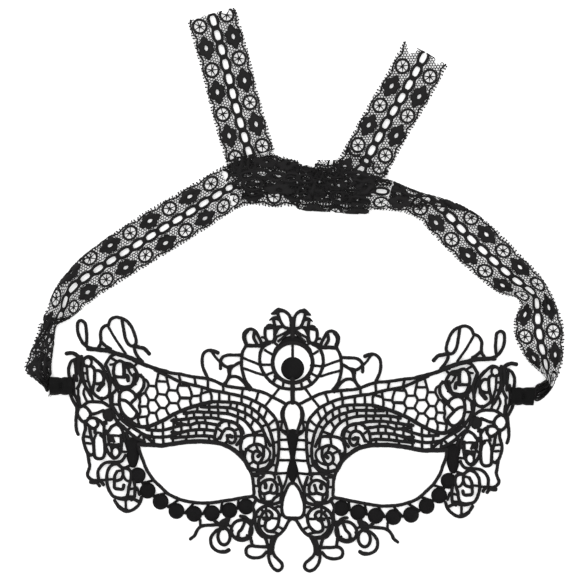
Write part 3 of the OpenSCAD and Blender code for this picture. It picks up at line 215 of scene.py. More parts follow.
HONEYCOMB_STROKES = [
    [B, [[40, 39.6], [39, 36.8], [38.9, 34.6], [38.6, 33.4]]],
    [B, [[43.6, 40.9], [43.6, 39.2], [43.9, 37.4], [44.1, 35], [43.8, 32.4]]],
    [B, [[43.9, 37.5], [40.2, 38.5]]],
    [B, [[50.4, 42.4], [49, 39.2], [48.4, 36.4], [49.1, 34.2], [48.4, 31.2]]],
    [B, [[48.4, 36.3], [43.9, 36.6]]],
    [B, [[53.6, 43.2], [54.7, 41.4], [55.3, 38.9], [54, 35.4], [55, 32.8], [53.6, 29.2]]],
    [B, [[54.7, 41.4], [50, 41.3]]], [C, [[54, 35.4], [48.7, 35.3]]],
    [B, [[60.6, 46], [60, 43.2], [59.4, 40], [60.5, 36.9], [59.1, 33.3], [60.7, 30.5], [59.3, 27.2],
        [59, 26.2]]], *joins([59.4, 39.1, 55.3, 38.9], [59.1, 33.1, 55, 32.8]),
    [B, [[64, 48.4], [65.2, 43.5], [65.4, 40.8], [64.7, 37.4], [65.8, 34.4], [63.8, 30.8],
        [65.5, 28.2], [64.3, 24.2]]],
    *joins([65.2, 43.5, 60, 43.2], [64.7, 37.4, 60.5, 36.9], [63.8, 30.8, 60.7, 30.5]),
    [B, [[71.6, 44.8], [69.8, 43.6], [69.2, 41.2], [70.5, 38], [69.1, 34.5], [69.5, 31.4],
        [68.8, 28.4], [69.8, 25.4], [69.4, 22]]],
    *joins([69.2, 41.2, 65.4, 41], [69.1, 34.5, 65.8, 34.4], [68.8, 28.4, 65.5, 28.2]),
    [B, [[73.4, 22.2], [74.2, 25.8], [73, 28.8], [73.6, 31.4], [73.2, 34.2], [74.6, 36.8]]],
    [B, [[70.5, 38], [72.2, 37.1], [73.6, 35.2]]],
    *joins([73.6, 31.3, 69.4, 31.4], [74.2, 26, 69.7, 26.6]),
]

LID_STROKES = [
    [T, [[78, 24.4], [74, 21.9], [70, 21.6], [66, 22.9], [62, 24.7], [57.5, 27.3], [53, 29.4],
        [48, 31.2], [44, 32.4], [39, 33.4]]],
    [C, [[44, 31.2], [40, 31], [35, 31], [30, 30.6], [26, 29.4], [22.5, 28], [19.5, 26.1], [17, 24],
        [15, 21.5], [13.7, 19], [12.6, 16]]],
    [C, [[52, 27.9], [47, 28.7], [42, 28.6], [36, 28.3], [31, 27.8], [27, 26.6], [24, 25.2],
        [21.5, 23], [19.5, 20.3], [18.4, 17.8]]],
    [C, [[58, 24.6], [52, 25.2], [47, 25.8], [42, 26], [37, 25.6], [33, 24.8], [30, 24], [27, 23],
        [24.6, 21], [23.6, 18.4]]],
    [C, [[56, 23.4], [50, 22.5], [46, 23.4], [42, 23.5], [38, 22.8], [35, 22.3]]],
    [C, [[70, 20.2], [66, 19.9], [62, 20], [57, 21.3], [52, 22.6]]],
    [C, [[58, 19], [54, 18.8], [50, 19.7], [46, 20.2], [42, 20.2], [38, 19.8]]],
    [C, [[72, 18.2], [70, 17.4], [65, 16.6], [60, 16.9], [56, 18], [52, 19.3]]],
    [C, [[58, 16.2], [50, 16.9], [45, 17.2], [40, 17.2], [37.4, 16.4]]],
    *joins([51.4, 30.2, 51.2, 27.9], [45.6, 32, 45.8, 28.6], [40, 33.4, 40, 28.7],
        [36, 33.6, 35.6, 28.4], [29.6, 33.3, 30, 30.6], [26.5, 33, 27, 29.8],
        [31.4, 30.6, 31, 27.8], [22.6, 31.8, 23, 28.2], [26, 29.4, 26.4, 26.3],
        [19.4, 30.2, 19.8, 26.3], [15.7, 27.4, 17, 24], [22.4, 28, 23.2, 24.6],
        [18.4, 25.2, 20.4, 21.4], [12.4, 22.8, 15, 21.4], [14.2, 20, 18.7, 18.6],
        [56.4, 27.8, 55.6, 24.8], [50.8, 28, 51, 25.3], [47.4, 28.6, 47.2, 25.8],
        [42.6, 28.6, 42.6, 26], [39.2, 28.5, 39.2, 25.8], [35.6, 28.3, 35.6, 25.3],
        [26.2, 26.2, 26.6, 22.9], [53.4, 25, 53.6, 22.9], [49.8, 25.4, 50, 22.6],
        [46, 25.9, 46, 23.4], [42, 26, 41.8, 23.5], [65.6, 22.8, 65.6, 20],
        [62.2, 24.4, 62.1, 20.1], [57, 25.2, 57.2, 21.3], [53.4, 22.4, 53.2, 19],
        [49, 22.7, 49, 19.8], [44.8, 23.5, 44.8, 20.2], [41.2, 23.4, 41.2, 20.2],
        [67.6, 19.9, 67.4, 17], [62.2, 20, 62.2, 16.8], [57.4, 21.2, 57, 17.7],
        [53.8, 19.3, 53.8, 16.6], [50, 19.7, 50, 16.9], [46.2, 20.2, 46.3, 17.2],
        [42.4, 20.2, 42.4, 17.2], [71.8, 18, 71, 14.2], [66.6, 16.7, 66.6, 13.6],
        [62.1, 16.8, 62, 13.4], [57.6, 17.2, 57.4, 14], [51, 17, 51, 14.6], [40, 17.2, 40, 14.8]),
    [C, [[86.4, 31.6], [84.6, 28.6], [82.2, 25.4], [79.6, 23], [76, 20.8], [72, 18.2], [69.4, 16.2],
        [67, 14.2]]],
    [C, [[86.3, 29], [84.4, 24.6], [81, 21.4], [77.6, 18.2], [74.2, 15.8], [71, 14.4]]],
    *joins([82.2, 25.4, 84.2, 24.4], [77.4, 21.6, 79.2, 19.8], [72.4, 18.4, 74.4, 15.9],
        [81, 27.3, 79.6, 23]), [B, [[80.4, 25], [77, 22.4], [74, 21.9]]],
    [C, [[79.8, 18.6], [78.6, 15.6]]],
]

RIM_UPPER = [[73.6, 13.4], [70, 13], [66, 12.9], [63, 12.6], [60, 13], [55, 13.8], [50, 14.4],
    [45, 14.6], [40, 14.4], [36, 13.9], [33, 13.1], [29.5, 11.4], [26.3, 9], [23.8, 6.6], [22, 4],
    [20.8, 1.6]]
RIM_LOWER = [[20.8, 1.6], [19.8, -0.8], [19, -4], [18.7, -8], [18.9, -11.4], [22.8, -12.2],
    [26, -12.8], [30, -13.5], [34, -14.1], [38, -14.7], [42, -15], [47, -14.7], [51.2, -14],
    [55.3, -12.7], [58.9, -11], [61.5, -8.9], [64.5, -6], [67, -3.5], [69.1, -0.4], [70.7, 2.6],
    [71.7, 5.4], [72.7, 8], [73.7, 11], [73.9, 13.4]]

INNER_ROSETTE_STROKES = [
    [C, [[24.3, 15.6], [22.6, 17], [20, 17.6], [16.5, 17.7], [13.6, 17.2], [12, 15.4],
        [10.8, 12.6]]],
    [C, [[34.7, 16], [33.7, 18.6], [32.2, 20.4], [30, 20.7], [28.1, 19.6], [27.3, 17.2], [27.5, 15],
        [28.9, 13.8], [30.8, 14.7], [31.2, 16.6], [30, 17.6]]], [T, [[31.4, 17.3], [29, 16.9]]],
    [C, [[37.4, 14.4], [37.2, 18], [36.2, 21.4], [33.4, 24.1], [29.6, 24.2], [26.4, 22.4],
        [24.7, 19], [24.8, 15.8], [26.8, 13]]],
    *joins([36.3, 21, 33.6, 19.2], [28, 19.8, 25.4, 20.9], [27.4, 17, 24.7, 17],
        [36.6, 15, 34.2, 17.4], [30.6, 24.2, 30.4, 20.8], [31, 14.8, 32.8, 13.4]),
    [C, [[24.4, 15.2], [25, 11.6], [24.2, 7.6]]],
    [C, [[22.9, 4.8], [22.8, 8.6], [21, 11.8], [17.6, 13.3], [14.8, 12.4], [13.9, 10.2], [14.2, 7],
        [16.3, 4.2], [18.6, 5.2], [19.2, 7.8], [18, 9.8], [15.9, 9.6], [15.4, 8]]],
    [T, [[15.4, 8.4], [16.6, 7.4]]],
    [B, [[14.3, 12.4], [12, 11.2], [10.8, 9], [11.3, 6.6], [13, 4.8], [15.6, 4]]],
    [C, [[22.9, 5], [21, 1.8], [17.6, 0.8], [14, 1.5], [11.8, 2.9], [10.3, 5.6]]],
    *joins([22.5, 11, 19, 9.4], [21.6, 3, 18.6, 5.2], [16.7, 1, 16.4, 4.2], [17.7, 13.1, 16.4, 9.9],
        [13.4, 17.2, 12.6, 12.4], [18, 17.6, 18.6, 13]), [C, [[12, 1.2], [15.6, 0.4], [19.8, 1.6]]],
    [B, [[22.8, 9], [25, 10.6]]],
]

NOSE_STROKES = [
    [C, [[0, 33.6], [2.6, 32.7], [4.2, 30], [4.5, 27], [3.8, 24], [3, 21.4], [2, 18.8]]],
    [B, [[4.4, 31], [5.4, 28], [5, 24.4], [5.4, 21.4], [4.8, 19.2], [2.6, 17.6]]],
    [P, [[0, 40], [0, 33.2]]], [B, [[5, 24.2], [7.2, 24]]],
]

NOSE_LEAF_FILL = [[0, 20.6], [2.9, 19.5], [3.1, 17.6], [2.3, 13], [1.6, 9], [1.3, 6.2], [2, 3.6],
    [2.8, 0.4], [2.3, -2], [1.3, -4.2], [0, -6.2]]
NOSE_LEAF_STROKES = [
    *joins([2, 15.4, 6.6, 15.3], [1.2, 10.8, 6.8, 10.9], [1, 5.6, 7.1, 5.5], [2, -0.6, 7.8, -0.8],
        [2.2, 19, 6.8, 20.6]),
]

NOSE_ARCH_STROKES = [
    [C, [[0, -5.4], [1.3, -5.8], [2.7, -7.8], [3.9, -10.6], [4.9, -14], [5.2, -17], [4.8, -20],
        [3.3, -21.9], [0, -22.2]]], [B, [[2.4, -1.6], [3.4, -5], [4.8, -8.4], [5.4, -11]]],
]

NOSE_ROSETTE_STROKES = [
    [C, [[7.8, -1], [11, -0.4], [15.4, -0.6], [18.9, -1.2]]],
    [C, [[6.8, -2.4], [5.4, -7], [5.3, -11], [5.9, -14.4]]],
    [C, [[15.8, -8.6], [15.4, -6.2], [13.8, -4.6], [11.2, -3.6], [8.9, -4.4], [7.6, -6.6],
        [7.5, -9], [8.8, -10.3], [11, -9.9], [13.6, -10.5], [15.2, -9.9], [15.8, -8.6]]],
    [T, [[13.7, -4.8], [12.9, -6.4], [13, -7.6]]], [C, [[10.8, -9.8], [10.3, -7.6], [9.9, -6.1]]],
    [C, [[13.4, -0.5], [14.4, -2.2], [16.2, -3.6], [16.2, -6], [15.7, -8]]],
    *joins([16.2, -2.2, 18.9, -1.9], [16.2, -6.8, 18.9, -6.6], [7.4, -6, 5.6, -6.1]),
    [B, [[9.2, -1], [8.4, -3], [9.2, -4.4]]],
    [C, [[15.9, -9], [15.6, -11.4], [13.8, -14], [10.4, -14.3], [8.6, -12.6], [6.6, -11]]],
    *joins([13.6, -10.6, 13.4, -13.8], [8.4, -10.4, 5.8, -10.6]),
    [C, [[6, -14.4], [9, -15.4], [12, -15], [15.6, -14.2], [18.8, -12]]],
    [B, [[5.2, -17], [7.2, -16.6], [8.4, -17.6]]],
    [C, [[18.8, -12], [17.4, -12.8], [19, -16.4], [18.4, -19.4], [18.8, -23.4], [20.2, -27],
        [20.6, -30], [19.8, -33], [19.5, -35.4]]],
    [C, [[18.1, -22.4], [17.2, -19.6], [15.2, -17.4], [12, -16.2], [9.4, -17.2], [7.2, -19.2],
        [6.5, -21.8], [7, -25.2], [8.6, -27.6], [10.8, -28.6], [12.9, -27.6], [13.2, -25.6],
        [12.6, -23.6], [10.6, -22.2], [9.9, -20.4], [11.3, -18.8], [13.6, -19.2], [15, -21],
        [16.1, -23.4], [16, -26.2], [14.8, -28.8], [12, -30.9], [9.6, -31.2], [7.4, -30.6]]],
    [C, [[18.1, -22.2], [17.9, -25], [17.2, -27.4], [16, -29.6], [14, -31.2], [11, -31.4]]],
    [T, [[12, -22.2], [13.8, -22.4]]],
    *joins([12.3, -22, 12.8, -19.4], [12.7, -16.4, 12.8, -18.8], [15.3, -17.6, 14.2, -19],
        [17.9, -21.6, 15.4, -21.6]), [B, [[17.8, -26], [15.9, -26.2], [13.2, -25.8]]],
    [B, [[9.9, -22.3], [6.6, -22.4]]], [B, [[10.4, -28.8], [8.6, -29], [6.4, -29.8]]],
    *joins([7, -26.2, 4.4, -27.6], [5.2, -20, 6.4, -22]),
    [C, [[23, -24.2], [24.3, -27.2], [25.9, -29.2], [26.1, -32]]],
    [C, [[19, -23.6], [21, -23.2], [22.6, -21.8], [25, -21.2]]],
    [P, [[21.6, -31.8], [24.3, -32.4], [27, -31.6]]],
    *joins([29, -26.4, 31.6, -25.2], [18.6, -22.8, 20.4, -24.8], [19.8, -31.6, 22, -30.4]),
]

NOSE_ROSETTE_RINGS = [[[24.4, -28], 5, 4.9, C]]
LOWER_CURL_STROKES = [
    [C, [[31.6, -22], [32, -24.8], [36, -25.3], [40, -25.6], [43, -25.9], [45, -27], [46.2, -28.8],
        [47, -30.6], [49, -32.2]]], [B, [[44.3, -23.2], [44.2, -26]]],
    [C, [[37.4, -23.6], [35.6, -25], [34.4, -27], [36.8, -28.4], [38.9, -31], [39.3, -33.6],
        [38.5, -36], [36.5, -37.7], [34, -38.4], [31.6, -38.1]]],
    [T, [[34, -38.4], [32, -38.2], [30.6, -37.4]]],
    [C, [[30.4, -22.4], [31.6, -25.4], [33.4, -27.4]]], [B, [[29.6, -28.4], [28.8, -28.2]]],
]

LOWER_CURL_RINGS = [[[32.9, -31], 2.9, 4, C]]
LOWER_CURL_FILLS = [[[30.4, -22.6], [33.6, -22.6], [35.6, -24.8], [34.8, -27.4], [32, -27.2],
        [30.6, -25]]]
DROP_STROKES = [
    [C, [[0, -22.4], [1.5, -23.2], [2.6, -25], [4, -27.4], [5.8, -29.6], [7.6, -31], [8.8, -33.5],
        [9.4, -36], [9.4, -38.5], [8.5, -40.3], [7, -41.9], [5.5, -43.5], [4.9, -45.2],
        [5.5, -46.6], [7, -47.3], [8.8, -46.6], [10.1, -45], [11, -43], [11.5, -40.5],
        [11.4, -37]]],
    [C, [[12.8, -36], [16.6, -35.8], [20, -35.5], [21.9, -36.5], [22.4, -38.5], [21.4, -40.3],
        [19, -41.2], [16.3, -41.1], [14.2, -40.2], [12.6, -38.4]]],
    [P, [[9.6, -31.6], [10.4, -36], [10.6, -39]]], [C, [[7.6, -31], [10.4, -31.2], [13.6, -30.4]]],
    [C, [[13.8, -30.6], [12.6, -33], [11.8, -36.4]]],
]

DOTS = [[22.3, -16.7], [30.3, -18.5], [38.7, -19.9], [47.2, -20.2], [55.7, -18.8], [63.3, -14.3],
    [69.5, -9], [74.3, -1.7]]
DOT_TIES = [[26, -12.8], [33.6, -14.1], [39.8, -14.8], [47, -14.7], [54, -13.1], [60.2, -10],
    [66.4, -4]]

LEAF_FILL = [[80.4, 16.2], [80.3, 12.6], [79.6, 10], [79.6, 7], [78.9, 4.4], [77.6, 2.2],
    [75.4, 2.2], [74.2, 4.6], [73.6, 7.6], [74.1, 10.4], [73.4, 13], [74, 16.2]]

TEMPLE_STROKES = [
    [P, [[98, 59], [93, 58.6], [88, 57.9], [84, 56.6], [80, 55.4], [76, 53.9], [73, 52.4]]],
    [T, [[108.4, 56.7], [106, 57], [104.2, 56.4], [102.6, 55], [102, 53]]],
    [C, [[103.6, 54], [105.8, 53.2], [107, 51.2], [107.4, 48.4], [107, 45.2]]],
    [P, [[102.4, 55], [102.7, 51], [102.6, 47.6]]],
    [C, [[101.2, 55.4], [100.8, 51], [101.2, 47], [100.4, 43.4], [98.6, 40], [96.6, 37.2]]],
    [C, [[104.3, 52.6], [103.8, 47.6], [103.5, 43.8]]],
    [C, [[102.6, 48], [101.4, 45], [102, 42.6], [103.2, 40]]],
    [C, [[104.8, 46.2], [105, 41], [104.6, 37], [103, 35.4]]],
    [C, [[106.8, 38], [105.4, 34.4], [103.7, 31.4], [102.6, 30]]],
    [B, [[104.2, 36.4], [103, 33.2], [101.4, 31]]],
    [C, [[102.6, 36], [101.6, 31.4], [98.4, 33.2], [95.4, 33.6], [91, 33.2], [88, 31.4],
        [86.6, 31]]], [B, [[99.4, 40.6], [100.2, 37.6], [98.6, 33.6]]],
    *joins([102.8, 39.4, 102.8, 35.6], [96.8, 37.2, 95.6, 33.6], [91.4, 35.6, 91.6, 33.2]),
    [C, [[103.5, 31.6], [103.6, 28], [103.9, 24], [103.7, 20.6], [102.8, 17.9]]],
    [C, [[102.4, 30.6], [103.2, 28], [102, 25.4], [100, 23.9], [98, 25.2], [96.9, 27.6], [98, 30],
        [99.8, 31.4]]], [C, [[97, 27.5], [93.8, 28.2], [90.8, 29.4]]],
    [C, [[96.8, 36.6], [98.8, 40], [100.2, 44], [100.9, 48], [100.8, 52], [99.4, 54.6], [97, 55.2],
        [94.6, 53.7], [92, 51], [90, 48], [88.6, 44], [87.8, 41], [87.8, 38], [89, 35.9],
        [91.4, 35.1], [93.6, 36], [95.6, 38], [95.7, 40.4], [95.1, 43.4], [94.9, 46.2],
        [95.2, 49.4], [96.8, 51]]],
    [B, [[98.8, 51], [98.5, 47.6], [98, 43.6], [96.8, 40], [95.8, 38.6]]],
    *joins([100.9, 47.4, 98.6, 47.3], [99.8, 43.5, 98, 43.5], [100.6, 50.9, 97.4, 50.4]),
    [C, [[95, 48.4], [92.8, 48.5], [91.2, 47], [90.5, 45], [91.2, 42.9], [93.6, 42.2],
        [95.2, 42.7]]], [C, [[90.2, 47.6], [90.5, 44.8], [90.8, 42.4]]],
    [P, [[90.8, 42.2], [92.2, 40.6], [93.2, 39.3]]],
    [C, [[89.7, 51.4], [88, 47.4], [87.3, 43.8], [87.7, 38], [87, 31.4]]],
    [C, [[89.6, 51.6], [87.2, 55.4], [84.4, 56.6]]], [B, [[93.4, 53], [91, 50.4], [89.4, 46.6]]],
    [C, [[85.9, 48.6], [85.2, 51.6], [83, 53.2], [80.4, 52.2], [77.4, 51.4], [75.4, 49], [74.2, 46],
        [75.3, 43], [77, 41.2], [80, 40.6], [83, 41.2], [84.8, 43.6], [85.7, 46.6], [85.9, 48.6]]],
    *joins([85.4, 51.6, 87.4, 51.4], [86.2, 45, 87.6, 44.8], [84.2, 52.9, 87, 54.6]),
    [T, [[81, 52], [80.8, 48.6], [80.7, 46]]], [C, [[84.8, 45.6], [82.6, 45.5], [80.6, 45.3]]],
    [T, [[80.6, 46.2], [79.2, 46], [78.8, 43.7]]], [P, [[80.6, 50.6], [77.8, 50.6]]],
    [B, [[79.2, 50], [77.6, 47], [76.2, 45.6]]], [C, [[75.8, 46.8], [76.2, 43.6], [77.2, 41.4]]],
    *joins([76.2, 50.4, 74.4, 52.2], [75.2, 42, 78, 41]),
    [P, [[84.4, 40.4], [81, 40.3], [77.6, 40.8]]],
    [C, [[87.4, 44.8], [85.4, 42.2], [84.4, 40], [86, 37.8], [87.6, 36.8]]],
    [C, [[82.9, 34.6], [80.4, 34.2], [78.4, 32.8], [76.6, 30.8], [74.9, 28.8], [74.8, 27.4],
        [76.2, 25.6], [78.4, 25.4], [80.6, 27.2], [82.2, 29.4], [83, 32.4], [83.1, 35.4],
        [82.6, 38], [80.6, 39.5], [78, 39.1], [75.8, 37.4], [75.2, 35.4], [76.8, 33.8],
        [77.8, 32.4]]], [B, [[84.6, 40.2], [83, 37.6]]],
    [C, [[86.4, 36.8], [86.6, 34], [86.6, 31.8], [84.8, 28.6], [82.4, 26.2]]],
    *joins([86.4, 32.4, 83, 32.2], [82.6, 26.4, 80.6, 26.6], [82.2, 29.2, 82.6, 26.2]),
    [C, [[73.4, 46.4], [71.6, 44.8], [71.4, 41], [73.4, 38], [75.4, 36.6]]],
    [B, [[74.2, 46], [72.6, 46.6]]], [B, [[75.6, 36], [73.6, 36.4], [73.2, 34.2]]],
]

TEMPLE_RINGS = [[[98.3, 52.6], 1.9, 2.2, B]]
TEMPLE_FILLS = [[[90.6, 29.6], [87, 30.4], [85.6, 26.6], [87.2, 24], [90.4, 25.2], [91.2, 27.4]]]
SIDE_STROKES = [
    [C, [[99.8, 24.2], [99.4, 20.6], [100.4, 16], [99.4, 11.6], [98.4, 9], [97.7, 5.4], [97.3, 2.6],
        [98.3, -1], [97.4, -3], [95.4, -4.2]]], [P, [[96.6, -4.9], [94.4, -4.8]]],
    [C, [[94.4, -4.6], [93.4, -5.6], [92.6, -6.8]]], [C, [[92.8, -4], [91.4, -5], [90.6, -6.2]]],
    [B, [[95.4, -4], [88.6, -3.9]]],
    [C, [[95.4, 14.8], [95.2, 10], [94.8, 7.2], [93, 6.3], [91, 6.7], [90.1, 9], [90.1, 13],
        [90.8, 16.4], [92, 17.6]]], [C, [[98.4, 9.4], [96.8, 8], [95.2, 9]]],
    [B, [[98.8, 13.8], [96.4, 13.6], [95.4, 14.6]]], [C, [[97.4, 21.2], [96.8, 17.6], [96, 15]]],
    [B, [[95.4, 14.6], [94, 18.6], [91.8, 18.4]]],
    [C, [[99.6, 24.2], [97.6, 22], [95.2, 20.8], [93.4, 22.6], [94, 25.6]]],
    [C, [[98, 25.6], [95.4, 25.8], [92.4, 24.4], [90.6, 22.4]]], [C, [[94.6, 21], [94.8, 18.8]]],
    [B, [[99.4, 17], [96.6, 16.4]]], [C, [[90.4, 23.8], [90.4, 20], [90.2, 16], [89.8, 12]]],
    [C, [[84.6, 23], [82.4, 21.4], [81.2, 18.4], [80.4, 15.6]]],
    [C, [[89.3, 19.6], [88.2, 17.4], [86.4, 15]]], [P, [[87, 12.7], [85, 12.5], [83, 12.8]]],
    [B, [[86.6, 17.2], [85.6, 14.4]]], [B, [[88.6, 17.4], [86, 17.4], [82.4, 17.2]]],
    [C, [[90.2, 16], [89.8, 12.6], [88.6, 9.6], [87, 7.4], [85.4, 6.5], [83.7, 7.4], [82.5, 9.8],
        [82, 12.6], [82.2, 15.6], [82.4, 17.6]]],
    [B, [[88.6, 18.6], [88.2, 14.6], [87.2, 12], [86.6, 9.8]]], [B, [[82.4, 9.6], [80, 9.6]]],
    [C, [[89.8, 18.2], [88.2, 19.6], [86.8, 21.6], [84.8, 22.8]]],
    *joins([82.4, 14.6, 80.4, 14.6], [81.8, 16, 80.4, 18.4], [88.8, 12.8, 87.4, 14.8]),
    [C, [[93, -3.6], [93.3, 0], [92, 2.6], [89.7, 4.3], [87, 4.7], [83.5, 4.7], [81.5, 5.6],
        [80.2, 8]]], [B, [[89.6, 25.4], [89.2, 23]]],
]

SIDE_RINGS = [[[84.9, 9.4], 1.9, 2.5, B]]
CHEEK_STROKES = [
    [C, [[89.1, -3.4], [88.8, 0], [87.5, 2.4], [85.4, 3.7], [83.4, 3.5], [81.8, 2], [79.4, 1.6],
        [77.8, 0.4], [77.3, -2], [77.8, -4.6], [78.5, -7.4], [78.9, -10.4], [80, -12.3],
        [83.4, -12.5], [86.4, -11.3], [88.2, -8.2], [89, -5], [89.1, -3.4]]],
    [B, [[88.8, -3.7], [85.4, -3.5]]],
    [C, [[84.2, 0.2], [85.3, -2], [85.4, -5], [85.3, -7.6], [83.4, -8.2], [81.4, -8.2],
        [80.9, -6.4]]], [B, [[85.4, -2.6], [84, 0.2], [81.6, 0.6]]],
    [C, [[81.7, 1.8], [81.3, -1.4], [82.4, -3.6], [85.2, -4.4]]],
    [B, [[81.2, -1.6], [80, -3.8], [78, -4.7]]], [C, [[78.6, 2.6], [81.2, 1.9], [83.4, 3.3]]],
    [B, [[78.4, -8.4], [75.4, -7.8]]], [C, [[76, -4.4], [75.6, -7.6], [75.8, -12], [77.4, -13.4]]],
    *joins([79.2, -11.6, 79.8, -13.6], [78.8, -11.8, 75.9, -11.8]),
    [C, [[85.4, -13.6], [84, -15.8], [82.2, -17.8], [79.8, -18.9], [77.2, -18.5], [74.7, -16.8],
        [73.1, -14.6], [72.4, -12.2]]], [T, [[83.4, -16.6], [81.4, -18], [79.4, -18.5]]],
    [B, [[80, -13.4], [79.9, -18]]], [C, [[84.6, -12.2], [81, -13.2], [77, -12.8], [73.2, -14.6]]],
    [B, [[74.6, -7.6], [73.4, -11]]],
]

PLUME_STROKES = [
    [C, [[99, 60.2], [98.7, 65], [99.2, 69.8], [99.8, 71.6], [101.5, 72.6], [103, 71.4],
        [103.1, 68], [102.2, 64.6], [100.6, 61.8], [98.4, 60], [96.4, 59.2]]],
    [C, [[93.1, 59.6], [91.9, 62], [92.1, 66.6], [90.8, 69.4], [89, 70.3]]],
    [C, [[91.6, 62.2], [89.4, 60.2], [87.4, 59]]],
    [B, [[88.7, 70.3], [86, 65.4], [83, 60.8], [80, 56.6]]],
    [C, [[88.4, 70.2], [87.2, 73], [84.6, 74.2], [82, 73.6], [79.6, 72.4], [77.2, 69.4],
        [75.6, 65.4], [75, 62], [76.4, 60.3], [78.4, 60.9], [80, 63.6], [81, 68], [81.8, 73.2]]],
    [T, [[76, 60.4], [73.4, 59.7], [71, 59], [68.7, 56.6]]],
    [C, [[76, 60], [75.4, 57.4], [73.8, 54.8], [72, 52.8]]],
]

# ---------------------------------------------------------------- materials


def node_chain(material):
    """The material's node tree, with short ways to add a node and a Math node."""
    tree = material.node_tree

    def add(kind, **settings):
        node = tree.nodes.new(kind)
        for key, value in settings.items():
            setattr(node, key, value)
        return node

    def calc(operation, a, b=None):
        node = add("ShaderNodeMath", operation=operation)
        for socket, value in zip(node.inputs, (a, b)):
            if isinstance(value, bpy.types.NodeSocket):
                tree.links.new(value, socket)
            elif value is not None:
                socket.default_value = value
        return node.outputs[0]

    return tree, add, calc


# Noise scales: how the rows of yarn wander, its fuzz, and patches of lighter and darker yarn
WANDER_NOISE, FUZZ_NOISE, TONE_NOISE = 900, 5200, 160


def thread_material(name, dark, light, rough, sheen, pitch, depth, slant=0.0, anisotropic=0.0,
                    shine=0.22):
    """Yarn laid in rows: pitch apart, depth deep, in the direction of the mesh's thread attribute."""
    material = bpy.data.materials.new(name)
    material.use_nodes = True
    tree, add, calc = node_chain(material)
    shader = tree.nodes["Principled BSDF"]
    thread = add("ShaderNodeAttribute", attribute_name="thread")
    split = add("ShaderNodeSeparateXYZ")
    tree.links.new(thread.outputs["Vector"], split.inputs[0])
    along, across = split.outputs[0], split.outputs[1]
    place = add("ShaderNodeNewGeometry").outputs["Position"]

    def noise(scale, detail=2.0):
        node = add("ShaderNodeTexNoise")
        node.inputs["Scale"].default_value = scale
        node.inputs["Detail"].default_value = detail
        tree.links.new(place, node.inputs["Vector"])
        return node.outputs["Fac"]

    wander = calc("MULTIPLY", noise(WANDER_NOISE), 1.6)
    rows = calc("ADD", calc("MULTIPLY", along, 2 * math.pi / pitch),
                calc("MULTIPLY", across, slant / pitch))
    ridge = calc("ADD", calc("MULTIPLY", calc("SINE", calc("ADD", rows, wander)), 0.5), 0.5)
    fuzz = noise(FUZZ_NOISE, 4.0)
    height = calc("ADD", ridge, calc("MULTIPLY", fuzz, 0.5))
    bump = add("ShaderNodeBump")
    bump.inputs["Strength"].default_value = 1.0
    bump.inputs["Distance"].default_value = depth
    tree.links.new(height, bump.inputs["Height"])
    tree.links.new(bump.outputs[0], shader.inputs["Normal"])

    shade = add("ShaderNodeAttribute", attribute_name="shade").outputs["Fac"]
    # Painted shade: the crests of the thread rows are lighter and the grooves between them darker in the
    # base colour. The per-strand shade value and TONE_NOISE add random tone of the yarn.
    yarn_tone_and_groove_shade = calc("ADD", calc("MULTIPLY", ridge, 0.45), calc("MULTIPLY", shade, 0.3))
    yarn_tone_and_groove_shade = calc("ADD", yarn_tone_and_groove_shade, calc("MULTIPLY", calc("SUBTRACT", noise(TONE_NOISE), 0.35), 0.8))
    mix = add("ShaderNodeMix", data_type="RGBA")
    mix.inputs["A"].default_value = (*dark, 1)
    mix.inputs["B"].default_value = (*light, 1)
    tree.links.new(yarn_tone_and_groove_shade, mix.inputs["Factor"])
    tree.links.new(mix.outputs["Result"], shader.inputs["Base Color"])
    low, high = rough
    tree.links.new(calc("ADD", calc("MULTIPLY", fuzz, high - low), low), shader.inputs["Roughness"])
    shader.inputs["Specular IOR Level"].default_value = shine
    shader.inputs["Sheen Weight"].default_value = sheen
    shader.inputs["Sheen Roughness"].default_value = 0.4
    shader.inputs["Anisotropic"].default_value = anisotropic
    return material


CORD = thread_material("black_cord", (0.0012, 0.001, 0.0011), (0.0085, 0.0072, 0.008),
                       (0.5, 0.72), 0.05, 0.36 * MM, 0.11 * MM, slant=2.6)
SATIN = thread_material("black_satin_stitch", (0.0006, 0.0005, 0.0006), (0.005, 0.0043, 0.0048),
                        (0.4, 0.6), 0.03, 0.3 * MM, 0.08 * MM, anisotropic=0.4, shine=0.12)
TAPE = thread_material("black_satin_tape", (0.0003, 0.0003, 0.0003), (0.0016, 0.0015, 0.0016),
                       (0.42, 0.6), 0.02, 0.22 * MM, 0.03 * MM, shine=0.1)
RIBBON = thread_material("black_ribbon_thread", (0.0012, 0.001, 0.0011), (0.009, 0.0078, 0.0084),
                         (0.5, 0.75), 0.05, 0.3 * MM, 0.07 * MM, slant=3.0)
KNOT = thread_material("black_knot_thread", (0.0008, 0.0007, 0.0008), (0.007, 0.006, 0.0065),
                       (0.5, 0.75), 0.04, 0.3 * MM, 0.07 * MM, slant=3.0)

# ---------------------------------------------------------------- threads and pads

random = np.random.default_rng(7)
# A thread's rounded tip: how far its two extra sections stand out, and how thick they are
TIP_REACH, TIP_THICK = (0.25, 0.42), (0.85, 0.45)


def resample(points, step, closed=False):
    """Smooth curve through the points, with a point about every step."""
    p = np.array(points, float)
    n = len(p)
    spans = n if closed else n - 1
    out = []
    for i in range(spans):
        if closed:
            a, b, c, d = (p[(i + k) % n] for k in (-1, 0, 1, 2))
        else:
            a, b, c, d = p[max(i - 1, 0)], p[i], p[i + 1], p[min(i + 2, n - 1)]
        count = max(1, math.ceil(np.linalg.norm(c - b) / step))
        t = (np.arange(count) / count)[:, None]
        curve = (2 * b + (c - a) * t + (2 * a - 5 * b + 4 * c - d) * t**2
                 + (3 * b - a - 3 * c + d) * t**3)
        out.append(0.5 * curve)
    if not closed:
        out.append(p[-1:])
    return np.concatenate(out)


